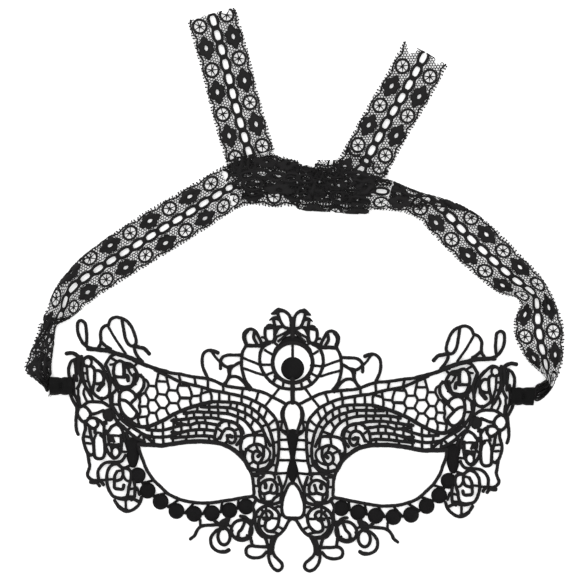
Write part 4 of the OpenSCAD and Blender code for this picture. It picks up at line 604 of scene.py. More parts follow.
def wobble(length, scale, amount):
    """A smooth random wave over positions along a thread, in lengths of scale."""
    value = np.zeros_like(length)
    for octave in (1.0, 2.3, 4.1):
        value += np.sin(length * octave / scale + random.uniform(0, 2 * math.pi)) / (1 + octave)
    return amount * value


def distance_to(outline, points):
    """How far each point is from a closed outline."""
    a, b = outline, np.roll(outline, -1, axis=0)
    ab, ap = b - a, points[:, None, :] - a[None]
    t = np.clip((ap * ab).sum(2) / np.maximum((ab * ab).sum(1), 1e-12), 0, 1)
    return np.linalg.norm(ap - t[..., None] * ab, axis=2).min(1)


def inside(outline, points):
    """Which points lie inside a closed outline."""
    a, b = outline, np.roll(outline, -1, axis=0)
    x, y = points[:, 0:1], points[:, 1:2]
    crosses = (a[:, 1] > y) != (b[:, 1] > y)
    rise = np.where(b[:, 1] == a[:, 1], 1e-12, b[:, 1] - a[:, 1])
    return (crosses & (x < (b[:, 0] - a[:, 0]) * (y - a[:, 1]) / rise + a[:, 0])).sum(1) % 2 == 1


def pad_shape(outline, holes=(), grid=0.7):
    """Triangles over an outline, less its holes: points, how far each is from an edge, triangles."""
    loops = [np.array(outline, float)] + [np.array(h, float) for h in holes]
    low, high = loops[0].min(0), loops[0].max(0)
    gx, gy = np.meshgrid(np.arange(low[0], high[0], grid), np.arange(low[1], high[1], grid * 0.87))
    gx[1::2] += grid / 2
    inner = np.stack([gx.ravel(), gy.ravel()], 1)
    keep = inside(loops[0], inner)
    for loop in loops:
        keep &= distance_to(loop, inner) > grid * 0.45
    for hole in loops[1:]:
        keep &= ~inside(hole, inner)
    inner = inner[keep]
    edges, start = [], 0
    for loop in loops:
        edges += [(start + i, start + (i + 1) % len(loop)) for i in range(len(loop))]
        start += len(loop)
    points = np.concatenate(loops + [inner])
    flat, _, tris = delaunay_2d_cdt([Vector(p) for p in points], edges, [], 0, 1e-6)[:3]
    flat = np.array([tuple(p) for p in flat])
    tris = np.array([t for t in tris if len(t) == 3])
    centre = flat[tris].mean(1)
    good = inside(loops[0], centre)
    for hole in loops[1:]:
        good &= ~inside(hole, centre)
    tris = tris[good]
    a, b, c = (flat[tris[:, k]] for k in range(3))
    turned = (b[:, 0] - a[:, 0]) * (c[:, 1] - a[:, 1]) - (b[:, 1] - a[:, 1]) * (c[:, 0] - a[:, 0]) < 0
    tris[turned] = tris[turned][:, ::-1]
    depth = np.min([distance_to(loop, flat) for loop in loops], axis=0)
    return flat, depth, tris


class Piece:
    """One piece of the object: threads and pads that become one mesh."""

    def __init__(self):
        self.co, self.thread, self.shade, self.quads, self.tris = [], [], [], [], []
        self.count = 0

    def add(self, co, thread, quads=None, tris=None):
        self.co.append(co)
        self.thread.append(thread)
        self.shade.append(np.full(len(co), random.uniform(0, 1)))
        if quads is not None:
            self.quads.append(quads + self.count)
        if tris is not None:
            self.tris.append(tris + self.count)
        self.count += len(co)

    def add_piece(self, other, move):
        """Adds another piece's mesh, moved."""
        self.co.append(move(other.points()))
        self.thread += other.thread
        self.shade += other.shade
        self.quads += [quads + self.count for quads in other.quads]
        self.tris += [tris + self.count for tris in other.tris]
        self.count += other.count

    def tube(self, path, width, height, closed=False, sides=10):
        """A thread of oval section along a path of x, y, z points."""
        path = np.array(path, float)
        width, height = (np.broadcast_to(np.array(v, float), len(path)).copy() for v in (width, height))
        if not closed:
            first = (path[0] - path[1]) / max(np.linalg.norm(path[0] - path[1]), 1e-9)
            last = (path[-1] - path[-2]) / max(np.linalg.norm(path[-1] - path[-2]), 1e-9)
            near, far = TIP_REACH
            path = np.concatenate([
                [path[0] + first * width[0] * far], [path[0] + first * width[0] * near], path,
                [path[-1] + last * width[-1] * near], [path[-1] + last * width[-1] * far]])
            shrink = np.ones(len(path))
            shrink[[1, -2]], shrink[[0, -1]] = TIP_THICK
            width = np.concatenate([[width[0]] * 2, width, [width[-1]] * 2]) * shrink
            height = np.concatenate([[height[0]] * 2, height, [height[-1]] * 2]) * shrink
        n = len(path)
        step = np.roll(path, -1, 0) - np.roll(path, 1, 0) if closed else np.gradient(path, axis=0)
        step /= np.maximum(np.linalg.norm(step, axis=1, keepdims=True), 1e-9)
        side = np.cross([0, 0, 1.0], step)
        side /= np.maximum(np.linalg.norm(side, axis=1, keepdims=True), 1e-9)
        up = np.cross(step, side)
        length = np.concatenate([[0], np.cumsum(np.linalg.norm(np.diff(path, axis=0), axis=1))])
        angle = 2 * math.pi * (np.arange(sides) + 0.5) / sides
        cos, sin = np.cos(angle)[None, :, None], np.sin(angle)[None, :, None]
        co = (path[:, None] + side[:, None] * cos * width[:, None, None] / 2
              + up[:, None] * sin * height[:, None, None] / 2)
        thread = np.zeros((n, sides, 3))
        thread[..., 0] = length[:, None]
        thread[..., 1] = cos[..., 0] * width[:, None] / 2
        rows = n if closed else n - 1
        i, k = np.meshgrid(np.arange(rows), np.arange(sides), indexing="ij")
        j, m = (i + 1) % n, (k + 1) % sides
        quads = np.stack([i * sides + k, j * sides + k, j * sides + m, i * sides + m], -1)
        quads = quads.reshape(-1, 4)[:, ::-1]
        if closed:
            return self.add(co.reshape(-1, 3), thread.reshape(-1, 3), quads=quads)
        ends = np.array([path[0], path[-1]])
        k = np.arange(sides)
        m = (k + 1) % sides
        start_fan = np.stack([np.full(sides, n * sides), m, k], 1)
        end_fan = np.stack([np.full(sides, n * sides + 1), (n - 1) * sides + k, (n - 1) * sides + m], 1)
        fan = np.concatenate([start_fan, end_fan])[:, ::-1]
        end_thread = np.array([[0, 0, 0], [length[-1], 0, 0]], float)
        self.add(np.concatenate([co.reshape(-1, 3), ends]),
                 np.concatenate([thread.reshape(-1, 3), end_thread]), quads=quads, tris=fan)

    def pad(self, shape, low, rim, dome, reach, angle, place=(0, 0), turn=0.0):
        """A satin-stitched pad: flat under, domed on top, its stitches lying at an angle."""
        flat, depth, tris = shape
        c, s = math.cos(turn), math.sin(turn)
        flat = flat @ np.array([[c, s], [-s, c]]) + np.array(place)
        rise = rim + dome * (1 - np.clip(1 - depth / reach, 0, 1) ** 2)
        n = len(flat)
        top, under = np.column_stack([flat, low + rise]), np.column_stack([flat, np.full(n, low)])
        edge = np.concatenate([tris[:, [0, 1]], tris[:, [1, 2]], tris[:, [2, 0]]])
        _, index, uses = np.unique(np.sort(edge, 1), axis=0, return_index=True, return_counts=True)
        border = edge[index[uses == 1]]
        walls = np.stack([border[:, 0], border[:, 0] + n, border[:, 1] + n, border[:, 1]], 1)
        a, b = math.cos(angle), math.sin(angle)
        thread = np.column_stack([-b * flat[:, 0] + a * flat[:, 1], a * flat[:, 0] + b * flat[:, 1],
                                  np.zeros(n)])
        self.add(np.concatenate([top, under]), np.concatenate([thread, thread]), quads=walls,
                 tris=np.concatenate([tris, tris[:, ::-1] + n]))

    def points(self):
        return np.concatenate(self.co)

    def build(self, name, material, slot, bodies, nodes, move=None):
        """Makes the Blender object. move changes the points, still in millimetres."""
        co = self.points()
        if move is not None:
            co = move(co)
        mesh = bpy.data.meshes.new(name)
        faces = np.concatenate(self.quads).tolist() if self.quads else []
        faces += np.concatenate(self.tris).tolist() if self.tris else []
        mesh.from_pydata((co * MM).tolist(), [], faces)
        mesh.polygons.foreach_set("use_smooth", [True] * len(mesh.polygons))
        thread = mesh.attributes.new("thread", "FLOAT_VECTOR", "POINT")
        thread.data.foreach_set("vector", (np.concatenate(self.thread) * MM).astype(np.float32).ravel())
        shade = mesh.attributes.new("shade", "FLOAT", "POINT")
        shade.data.foreach_set("value", np.concatenate(self.shade).astype(np.float32))
        mesh.materials.append(material)
        mesh.update()
        piece = bpy.data.objects.new(name, mesh)
        bpy.context.scene.collection.objects.link(piece)
        if isinstance(bodies, str):
            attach(piece, bodies)
        else:
            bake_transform(piece)
        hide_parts(*nodes)
        return piece


# ---------------------------------------------------------------- the lace panel

# The right wing droops and leans a little, as the CAD panel does
DROOP = 0.04
LEAN = 0.03


def lay(points, side):
    """Half-pattern points on the panel."""
    p = np.array(points, float)
    x, y = p[:, 0], p[:, 1]
    if side == LEFT:
        return np.stack([-x, y], 1)
    return np.stack([x - LEAN * (y - 17) * np.minimum(1, x / 12),
                     y - DROOP * x * (1 + 0.005 * (y - 20))], 1)


def swell(co):
    """The panel isn't quite flat: it lifts off the table by up to a millimetre, in slow waves."""
    x, y = co[:, 0], co[:, 1]
    lift = 0.45 + 0.25 * np.sin(x / 19 + 0.6) * np.cos(y / 15) + 0.2 * np.sin(y / 11 - x / 27)
    return co + np.column_stack([np.zeros((len(co), 2)), lift])


# A cord's height is LEAST_H and this share of its width, and it lies up to CORD_LIFT higher
LEAST_H, HEIGHT_RATIO, CORD_LIFT = 0.35, 0.62, 0.12
# How much a cord's width and its line wander
WIDTH_WANDER, LINE_WANDER = 0.07, 0.07
# Distances between points along a cord and along the edge of a pad
CORD_STEP, PAD_STEP = 0.45, 0.5
# Height of a pad's underside
PAD_LOW = 0.1


def draw_cords(piece, strokes, side):
    for width, points in strokes:
        flat = resample(lay(points, side), CORD_STEP)
        length = np.concatenate([[0], np.cumsum(np.linalg.norm(np.diff(flat, axis=0), axis=1))])
        flat = flat + np.stack([wobble(length, 1.1, LINE_WANDER), wobble(length, 1.3, LINE_WANDER)], 1)
        thick = width * (1 + wobble(length, 0.8, WIDTH_WANDER))
        tall = LEAST_H + width * HEIGHT_RATIO
        middle = tall / 2 + random.uniform(0, CORD_LIFT)
        piece.tube(np.column_stack([flat, np.full(len(flat), middle)]), thick, tall)


def draw_rings(piece, rings, side):
    for centre, rx, ry, width in rings:
        angle = np.arange(0, 2 * math.pi, 2 * math.pi / 24)
        oval = np.stack([centre[0] + rx * np.cos(angle), centre[1] + ry * np.sin(angle)], 1)
        flat = resample(lay(oval, side), CORD_STEP, closed=True)
        tall = LEAST_H + width * HEIGHT_RATIO
        piece.tube(np.column_stack([flat, np.full(len(flat), tall / 2)]), width, tall, closed=True)


def draw_fills(piece, fills, side, angle, rim=0.6, dome=0.55, reach=1.4):
    for outline in fills:
        loop = resample(lay(outline, side), PAD_STEP, closed=True)
        piece.pad(pad_shape(loop), PAD_LOW, rim, dome, reach, angle)


def circle(radius, count=40):
    angle = np.arange(count) * 2 * math.pi / count
    return radius * np.stack([np.cos(angle), np.sin(angle)], 1)


def build_panel_piece(name, draw, slot="lace_cord", material=CORD):
    piece = Piece()
    draw(piece)
    piece.build(f"{name}_lace", material, slot, "mask", [name], move=swell)


def both(draw):
    """Draws a centre piece: its left and its right half."""
    def run(piece):
        for side in (LEFT, RIGHT):
            draw(piece, side)
    return run


def mirrored(outline):
    """A whole outline from the half of it that starts and ends on the centre line."""
    return outline + [[-x, y] for x, y in outline[-2:0:-1]]


def centre_pad(piece, outline, angle):
    loop = resample(mirrored(outline), PAD_STEP, closed=True)
    piece.pad(pad_shape(loop), PAD_LOW, 0.6, 0.6, 1.6, angle)


def draw_medallion(piece):
    for side in (LEFT, RIGHT):
        draw_cords(piece, MEDALLION_STROKES, side)
    draw_rings(piece, MEDALLION_RINGS, LEFT)


def draw_crown(piece):
    for side in (LEFT, RIGHT):
        draw_cords(piece, CROWN_STROKES, side)
        draw_fills(piece, CROWN_FILLS, side, angle=1.2)


def draw_nose_leaf(piece):
    centre_pad(piece, NOSE_LEAF_FILL, angle=0.0)
    for side in (LEFT, RIGHT):
        draw_cords(piece, NOSE_LEAF_STROKES, side)


def draw_dot_row(piece, side):
    ties = [[B, [[(a[0] + b[0]) / 2, (a[1] + b[1]) / 2], tie]]
            for a, b, tie in zip(DOTS, DOTS[1:], DOT_TIES)]
    draw_cords(piece, [[B, DOTS]] + ties, side)
    shape = pad_shape(circle(DOT_D / 2), grid=0.6)
    for centre in lay(DOTS, side):
        turn = random.uniform(-0.25, 0.25)
        piece.pad(shape, 0.0, 0.75, 0.95, 2.6, angle=1.35 + turn, place=centre)


def draw_pupil(piece):
    shape = pad_shape(circle(PUPIL_D / 2, 56))
    piece.pad(shape, 0.0, 0.8, 0.9, 3.4, angle=1.5, place=(0, PUPIL_Y))


DOT_D, PUPIL_D, PUPIL_Y = 7.7, 11.2, 49.5
PADDED = ("padded_satin", SATIN)

build_panel_piece("medallion_rings", draw_medallion)
build_panel_piece("medallion_pupil", draw_pupil, *PADDED)
build_panel_piece("medallion_crescent", lambda piece: centre_pad(piece, CRESCENT_FILL, 1.5), *PADDED)
build_panel_piece("crown_scrolls", draw_crown)
build_panel_piece("nose_teardrop", both(lambda piece, side: draw_cords(piece, NOSE_STROKES, side)))
build_panel_piece("nose_leaf", draw_nose_leaf, *PADDED)
build_panel_piece("nose_arch", both(lambda piece, side: draw_cords(piece, NOSE_ARCH_STROKES, side)))

# Each paired piece: its cords, rings and satin fills
PAIRED = {
    "ear_lobe": (EAR_STROKES, [], []),
    "brow_scrolls": (BROW_SCROLL_STROKES, [], BROW_SCROLL_FILLS),
    "brow_band": (BROW_BAND_STROKES, [], []),
    "honeycomb": (HONEYCOMB_STROKES, [], []),
    "lid_bands": (LID_STROKES, [], []),
    "eye_rim": ([[P, RIM_UPPER], [C, RIM_LOWER]], [], []),
    "inner_rosettes": (INNER_ROSETTE_STROKES, [], []),
    "nose_rosettes": (NOSE_ROSETTE_STROKES, NOSE_ROSETTE_RINGS, []),
    "lower_curls": (LOWER_CURL_STROKES, LOWER_CURL_RINGS, LOWER_CURL_FILLS),
    "bottom_drops": (DROP_STROKES, [], []),
    "temple_spirals": (TEMPLE_STROKES, TEMPLE_RINGS, TEMPLE_FILLS),
    "side_scrolls": (SIDE_STROKES, SIDE_RINGS, []),
    "cheek_rosette": (CHEEK_STROKES, [], []),
    "plume": (PLUME_STROKES, [], []),
}
for side in (LEFT, RIGHT):
    for name, (strokes, rings, fills) in PAIRED.items():
        def draw(piece):
            draw_cords(piece, strokes, side)
            draw_rings(piece, rings, side)
            draw_fills(piece, fills, side, angle=0.9)
        build_panel_piece(f"{SIDE_NAMES[side]}_{name}", draw)
    build_panel_piece(f"{SIDE_NAMES[side]}_dot_row", lambda piece: draw_dot_row(piece, side), *PADDED)
    build_panel_piece(f"{SIDE_NAMES[side]}_satin_leaf", lambda piece: draw_fills(
        piece, [LEAF_FILL], side, angle=0.1, rim=0.7, dome=0.8, reach=2.2), *PADDED)


# ---------------------------------------------------------------- ribbon lace

# The ribbon's pattern repeats every PERIOD along it: on each side a wheel and a satin blossom,
# and between them a middle row of three eyelets. s runs along the ribbon, t across it.
RIBBON_W = 24.6
PERIOD = 21.7
ROW_T, ROW_SKEW = 7.0, 1.0
WHEEL_R, WHEEL_W, WHEEL_H = 3.2, 1.3, 0.75
EYELET_S, EYELET_T, EYELET_W, EYELET_H = 3.1, 2.0, 1.6, 0.85
NET_PITCH, NET_ROW, NET_W = 1.35, 1.17, 0.42
EDGE_IN, EDGE_OUT, EDGE_W = 9.7, 11.2, 0.9
PICOT_STEP, PICOT_L, PICOT_WIDTHS = 1.6, 1.5, [0.6, 0.52, 0.95, 0.7]
# Height of the threads' middle above the ribbon's underside
MID_H = 0.42

BLOSSOM = [[5.2, 0.2], [4.0, 1.3], [3.0, 1.5], [2.5, 2.6], [1.2, 3.3], [-0.2, 2.9], [-1.4, 3.2],
           [-2.6, 2.5], [-3.0, 1.5], [-4.1, 1.2], [-5.2, -0.2], [-4.0, -1.3], [-3.0, -1.6],
           [-2.5, -2.7], [-1.2, -3.3], [0.2, -2.9], [1.4, -3.3], [2.6, -2.5], [3.0, -1.5], [4.1, -1.2]]
BLOSSOM_HOLE = [[1.4, 0.1], [0.6, 0.75], [-0.6, 0.7], [-1.3, 0], [-0.6, -0.7], [0.6, -0.6]]
blossom_shape = pad_shape(resample(BLOSSOM, 0.6, closed=True) * 1.17,
                          [resample(BLOSSOM_HOLE, 0.6, closed=True)], 0.8)
PINCH = [[1.1, 2.3], [0, 2.0], [-1.1, 2.3], [-1.6, 1.4], [-1.0, 0], [-1.6, -1.4], [-1.1, -2.3],
         [0, -2.0], [1.1, -2.3], [1.6, -1.4], [1.0, 0], [1.6, 1.4]]
pinch_shape = pad_shape(resample(PINCH, 0.6, closed=True), grid=0.8)


def runs(keep):
    """The stretches of True in a row of flags, as (first, past the last)."""
    edge = np.flatnonzero(np.diff(np.concatenate([[0], keep.astype(int), [0]])))
    return list(zip(edge[::2], edge[1::2]))


class Ribbon(Piece):
    """Flat ribbon lace, from s = 0 to its length. phase is where a pair of wheels lies."""

    def __init__(self, length, phase=0.0, period=PERIOD):
        super().__init__()
        self.length, self.phase, self.scale = length, phase, period / PERIOD
        self.first = math.floor(-phase / period) - 1
        self.last = math.ceil((length - phase) / period) + 1
        for k in range(self.first, self.last):
            self.repeat(k * PERIOD)
        self.net()
        for side in (-1, 1):
            self.edge(side)

    def at(self, s):
        return self.phase + np.asarray(s, float) * self.scale

    def line(self, points, width, height, closed=False, sides=6):
        """A thread of the pattern, cut off at the ribbon's ends."""
        p = np.array(points, float)
        p[:, 0] = self.at(p[:, 0])
        width = np.broadcast_to(np.array(width, float), len(p))
        keep = (p[:, 0] >= 0) & (p[:, 0] <= self.length)
        path = np.column_stack([p, np.full(len(p), MID_H)])
        if closed and keep.all():
            return self.tube(path, width, height, closed=True, sides=sides)
        if closed:
            path, width, keep = (np.concatenate([v, v[:1]]) for v in (path, width, keep))
        for a, b in runs(keep):
            if b - a > 1:
                self.tube(path[a:b], width[a:b], height, sides=sides)

    def blob(self, shape, s, t, dome, turn=0.0):
        """A satin pad of the pattern, if all of it is on the ribbon."""
        place = (float(self.at(s)), t)
        if 0.5 < place[0] < self.length - 0.5:
            flat, depth, tris = shape
            clipped = np.clip(flat[:, 0], -place[0], self.length - place[0])
            self.pad((np.column_stack([clipped, flat[:, 1]]), depth, tris), 0.05, 0.45, dome, 1.2,
                     angle=math.pi / 2 + random.uniform(-0.3, 0.3), place=place, turn=turn)

    def repeat(self, s0):
        turn = np.arange(26) * 2 * math.pi / 26
        for side in (-1, 1):
            s, t = s0 + side * ROW_SKEW, side * ROW_T
            ring = np.stack([s + WHEEL_R * 1.04 * np.cos(turn), t + WHEEL_R * np.sin(turn)], 1)
            self.line(ring, WHEEL_W, WHEEL_H, closed=True, sides=8)
            for spoke in range(7):
                a = spoke * math.pi / 3.5 + random.uniform(-0.2, 0.2)
                reach = WHEEL_R * random.uniform(0.8, 1.0)
                tip = [s + reach * math.cos(a), t + reach * math.sin(a)]
                self.line([[s, t], tip], [0.8, 0.38], 0.3, sides=5)
            self.blob(blossom_shape, s + PERIOD / 2, t, 0.3)
            middle = s0 + PERIOD / 2
            for k in (-0.85, 0.85):
                self.line([[middle + k, side * 1.6], [middle + k * 1.1, side * 4.6]], 0.5, 0.45)
        for k in range(3):
            s = s0 + (k - 1) * PERIOD / 3
            round_off = 1 + 0.12 * np.abs(np.sin(2 * turn))
            oval = np.stack([s + EYELET_S * np.cos(turn) * round_off,
                             EYELET_T * np.sin(turn) * round_off], 1)
            self.line(oval, EYELET_W, EYELET_H, closed=True, sides=8)
            self.blob(pinch_shape, s + PERIOD / 6, 0, 0.15)

    def net(self):
        """The honeycomb ground between the rows: short bars, left out inside wheels and pads."""
        columns = np.arange(self.first * PERIOD, self.last * PERIOD, NET_PITCH / 2)
        starts, ends = [], []
        for row in range(7):
            t = 3.0 + row * NET_ROW
            for side in (-1, 1):
                sway = 0.2 * np.where((np.arange(len(columns)) + row) % 2 == 0, 1, -1)
                jitter = random.uniform(-0.07, 0.07, (2, len(columns)))
                nodes = np.stack([columns + jitter[0], side * (t + sway + jitter[1])], 1)
                starts.append(nodes[:-1])
                ends.append(nodes[1:])
                up = nodes[sway > 0]
                starts.append(up)
                ends.append(up + [0, side * (NET_ROW - 0.4)])
        a, b = np.concatenate(starts), np.concatenate(ends)
        middle = (a + b) / 2
        half = np.sign(middle[:, 1])
        across = np.abs(middle[:, 1]) - ROW_T
        s = (middle[:, 0] - half * ROW_SKEW + PERIOD / 2) % PERIOD - PERIOD / 2
        in_wheel = np.hypot(s, across) < WHEEL_R + 0.1
        in_pad = (PERIOD / 2 - np.abs(s)) / 4.6 + np.abs(across) / 3.6 < 1
        a[:, 0], b[:, 0] = self.at(a[:, 0]), self.at(b[:, 0])
        on = (np.minimum(a[:, 0], b[:, 0]) > 0) & (np.maximum(a[:, 0], b[:, 0]) < self.length)
        keep = on & ~in_wheel & ~in_pad
        self.bars(a[keep], b[keep], NET_W, 0.26)

    def bars(self, a, b, width, height):
        """Many short straight threads of square section at once."""
        n = len(a)
        along = b - a
        long = np.linalg.norm(along, axis=1, keepdims=True)
        along = along / long
        a, b = a - along * width * 0.3, b + along * width * 0.3
        side = np.stack([-along[:, 1], along[:, 0]], 1) * width / 2
        co = np.zeros((n, 8, 3))
        for k, (end, sign, rise) in enumerate([(a, 1, 0), (a, 0, 1), (a, -1, 0), (a, 0, -1),
                                               (b, 1, 0), (b, 0, 1), (b, -1, 0), (b, 0, -1)]):
            co[:, k, :2] = end + sign * side
            co[:, k, 2] = MID_H + rise * height / 2
        thread = np.zeros((n, 8, 3))
        thread[:, 4:, 0] = long
        faces = np.array([[0, 4, 5, 1], [1, 5, 6, 2], [2, 6, 7, 3], [3, 7, 4, 0],
                          [0, 1, 2, 3], [7, 6, 5, 4]])
        quads = (faces[None] + 8 * np.arange(n)[:, None, None]).reshape(-1, 4)
        self.add(co.reshape(-1, 3), thread.reshape(-1, 3), quads=quads)

    def edge(self, side):
        """The scalloped edge cord and its picots."""
        def out(s):
            wave = np.abs(np.cos(math.pi * (s - side * ROW_SKEW) / (PERIOD / 2)))
            return EDGE_IN + (EDGE_OUT - EDGE_IN) * wave**0.8
        s = np.arange(self.first * PERIOD, self.last * PERIOD, 0.6)
        self.line(np.stack([s, side * out(s)], 1), EDGE_W, 0.55)
        for s in np.arange(self.first * PERIOD, self.last * PERIOD, PICOT_STEP):
            lean = random.uniform(-0.25, 0.35)
            t = out(s)
            reach = PICOT_L * random.uniform(0.85, 1.15)
            loop = [[s, t], [s + lean * 0.5, t + reach * 0.55], [s + lean, t + reach],
                    [s + lean * 1.6, t + reach * 1.12]]
            self.line([[p, side * q] for p, q in loop], PICOT_WIDTHS, 0.5, sides=5)


# How far a turned-under edge lifts the ribbon, and how many pleats it lies in where it is gathered
TURN_GAP, PLEATS = 0.6, 5


def band(stations, wheel):
    """A map of flat ribbon lace onto a laid path, the path's length, and how far along it wheel lies.

    A station is [edge a x, y, edge b x, y, height of the underside, width turned under at a, at b].
    Where the edges are closer together than the ribbon is wide, it lies in lengthwise pleats.
    """
    path = resample(stations, 0.8)
    middle = (path[:, 0:2] + path[:, 2:4]) / 2
    length = np.concatenate([[0], np.cumsum(np.linalg.norm(np.diff(middle, axis=0), axis=1))])
    phases = random.uniform(0, 2 * math.pi, 4)

    def move(co):
        s, t, h = co.T
        ax, ay, bx, by, low, turned_a, turned_b = (np.interp(s, length, path[:, k]) for k in range(7))
        wide = np.hypot(bx - ax, by - ay)
        shown = RIBBON_W - turned_a - turned_b
        d = t + RIBBON_W / 2 - turned_a
        under_a, under_b = np.clip(-d, 0, None), np.clip(d - shown, 0, None)
        x = np.where(under_a > 0, under_a, np.where(under_b > 0, shown - under_b, d)) / shown
        top = 1 - np.maximum(np.tanh(under_a / 0.5), np.tanh(under_b / 0.5))
        lift = TURN_GAP * np.maximum(np.tanh(turned_a), np.tanh(turned_b)) * top
        tall = np.sqrt(np.maximum(shown**2 - wide**2, 0)) / (2 * PLEATS)
        wave = 0.5 + 0.5 * np.sin(2 * math.pi * PLEATS * x + 0.8 * np.sin(s / 14 + phases[0]) + phases[1])
        sway = 0.2 * (1 + np.sin(s / 9 + phases[2]) * np.cos(t / 7 + phases[3]))
        z = low + lift + tall * wave + sway + h
        return np.column_stack([ax + (bx - ax) * x, ay + (by - ay) * x, z])

    return move, float(length[-1]), float(length[np.linalg.norm(middle - wheel, axis=1).argmin()])


FLAT = [0, 0]
# The left tie, from its sleeve up to the knot: edge a is the outer edge
LEFT_TIE = [
    [-117.6, 38.2, -117.5, 46.0, 0.8, 2, 4],
    [-119.2, 40.4, -116.0, 47.0, 0.8, 1, 6],
    [-123.2, 43.8, -115.4, 48.2, 0.6, 0, 8.6],
    [-127.8, 47.2, -115.4, 50.2, 0.4, 0, 9.5],
    [-128.6, 51.2, -115.1, 53.6, 0.3, 0, 10],
    [-126.4, 56.2, -114.7, 57.5, 0.3, 1, 11],
    [-125.0, 59.8, -114.2, 61.2, 0.3, 3, 10.6],
    [-122.2, 65.2, -113.8, 65.6, 0.3, 5, 10],
    [-119.8, 70.0, -113.0, 70.0, 0.3, 5, 11],
    [-119.6, 74.0, -110.2, 71.6, 0.3, 2, 9],
    [-118.0, 78.2, -107.2, 73.0, 0.3, 0, 5],
    [-116.0, 83.4, -104.2, 75.2, 0.3, 1, 2],
    [-113.0, 89.6, -101.2, 77.6, 0.2, 3, 0],
    [-108.4, 95.6, -98.0, 80.2, 0.2, 4, 0],
    [-99.4, 104.6, -89.6, 86.2, 0.2, 2, 0],
    [-77.5, 120.6, -67.6, 99.8, 0.2] + FLAT,
    [-54.5, 134.6, -44.2, 114.4, 0.2] + FLAT,
    [-34.2, 146.6, -28.0, 125.2, 0.4] + FLAT,
]
# The right tie, from its sleeve up to the knot: edge a is the inner edge
RIGHT_TIE = [
    [117.0, 41.9, 117.1, 33.6, 0.8, 3.4, 3.4],
    [119.0, 42.8, 120.4, 35.5, 0.8, 3.4, 3],
    [121.4, 44.2, 124.0, 39.6, 0.7, 1.4, 1.8],
    [119.2, 47.2, 126.2, 43.6, 0.5, 0, 0],
    [115.6, 49.9, 128.1, 47.3, 0.4, 0, 0],
    [112.2, 53.6, 129.8, 53, 0.3, 0, 0],
    [108.4, 59.6, 130.4, 59.6, 0.2] + FLAT,
    [106.2, 65.6, 130.4, 66.2, 0.2] + FLAT,
    [105.8, 71.2, 129.4, 73.4, 0.2] + FLAT,
    [107.6, 76.8, 127, 79.2, 0.2, 0, 0],
    [108.8, 80.6, 124.6, 85.2, 0.2, 0, 0],
    [106.4, 83.6, 121.8, 90.2, 0.2, 0, 0],
    [100.8, 84.6, 117.8, 95.8, 0.2, 0, 0],
    [93.8, 88.8, 111.4, 102.4, 0.2] + FLAT,
    [78.2, 102.2, 96.4, 117.6, 0.2] + FLAT,
    [66.4, 114.2, 82.6, 127.2, 0.3, 0, 3.6],
    [60.4, 120.8, 71.2, 131.6, 0.3, 0, 8],
    [53.2, 124, 60.4, 134.6, 0.4, 0, 11],
    [44.2, 125.2, 48.4, 139.6, 0.5, 0, 9.4],
]
# The strips of ribbon that make up each half of the knot, each with a phase
LEFT_KNOT = [
    ([[-34.2, 146.6, -28.0, 125.2, 0.4] + FLAT, [-21.5, 151.5, -19.5, 127.8, 0.5] + FLAT,
      [-9.5, 152.2, -9.0, 126.6, 0.6] + FLAT, [3.0, 149.4, 3.0, 127.6, 0.6] + FLAT], [-36.5, 132.7]),
    ([[-9, 155, -30, 149.6, 1.2, 0, 0], [-8.6, 152.6, -29.4, 138.4, 1.4, 0, 0],
      [-4.4, 150.2, -17, 133.4, 1.6, 2.1, 1.5], [2, 148.2, -4, 133, 1.6, 4.8, 3.5],
      [8.4, 146.6, 6, 132.6, 1.4, 5, 3.6], [14.4, 144, 15, 131.6, 1.2, 5, 4.6]], [-14, 146]),
    ([[-32, 147.4, -25, 130, 1, 4.4, 1.4], [-18, 151, -14, 133, 1, 3.7, 2.4],
      [-3, 148.4, -3.4, 132.4, 1, 4, 4.6], [13, 145.4, 12, 129.4, 1, 4, 4.6]], [0, 140]),
]
RIGHT_KNOT = [
    ([[0, 127.4, -1, 144, 0.6, 7.4, 0.6], [5, 125.2, 5.4, 144.2, 0.6, 5.1, 0.5],
      [17, 124.4, 18, 143.6, 0.7, 4.8, 0.5], [29, 123.4, 31, 141.6, 0.7, 4.8, 1.5],
      [36.6, 123.6, 39, 139.6, 0.6, 4, 1.6]], [22, 134]),
    ([[44.2, 125.2, 48.4, 139.6, 0.5, 0, 4.6], [35, 125.6, 38.6, 142.6, 0.9, 0, 2.6],
      [24, 127, 27, 146, 1.4, 0, 1.6], [10, 129.4, 10.6, 148, 1.8, 0, 0.6]], [42, 133]),
    ([[25.4, 156.6, 46.8, 144.2, 1.4] + FLAT, [21.8, 150.6, 42.4, 138.6, 1.6, 0, 0.6],
      [17, 146.6, 33.4, 131.2, 1.9, 0, 1.6], [8.6, 146, 20.6, 127.6, 1.9, 0.7, 1.9]], [37.5, 154]),
    ([[12, 149.6, 24, 149.4, 1, 0, 2.6], [8.8, 142, 25, 140, 1.6, 2, 2.6],
      [7, 131, 26, 128, 1.4, 2.9, 2.5]], [17, 141]),
]
LEFT_HINGE, RIGHT_HINGE = [-110.8, 41.2], [110.074, 36.298]
HINGE_Z, HINGE_TILT = 2.3, math.atan2(-0.022187, 0.999754)
LEFT_ROOT, LEFT_LEAN = [-20.2, 150.7], math.radians(105.2)
RIGHT_ROOT, RIGHT_LEAN = [33.8, 146.4], math.radians(61)
# Where along it a loose end ends and starts, the height of its underside, and the length it bends over
LEFT_TAIL_L, RIGHT_TAIL_L, TAIL_START = 71.5, 62.5, 0.5
TAIL_LOW, BEND_Z, BEND_L = 0.75, 1.35, 6
# A sleeve's length, height and thickness, its wall, and the width of its tape, which goes around it
SLEEVE_L, SLEEVE_H, SLEEVE_T, SLEEVE_WALL, TAPE_AROUND = 11.0, 8.6, 4.6, 0.5, 23.5


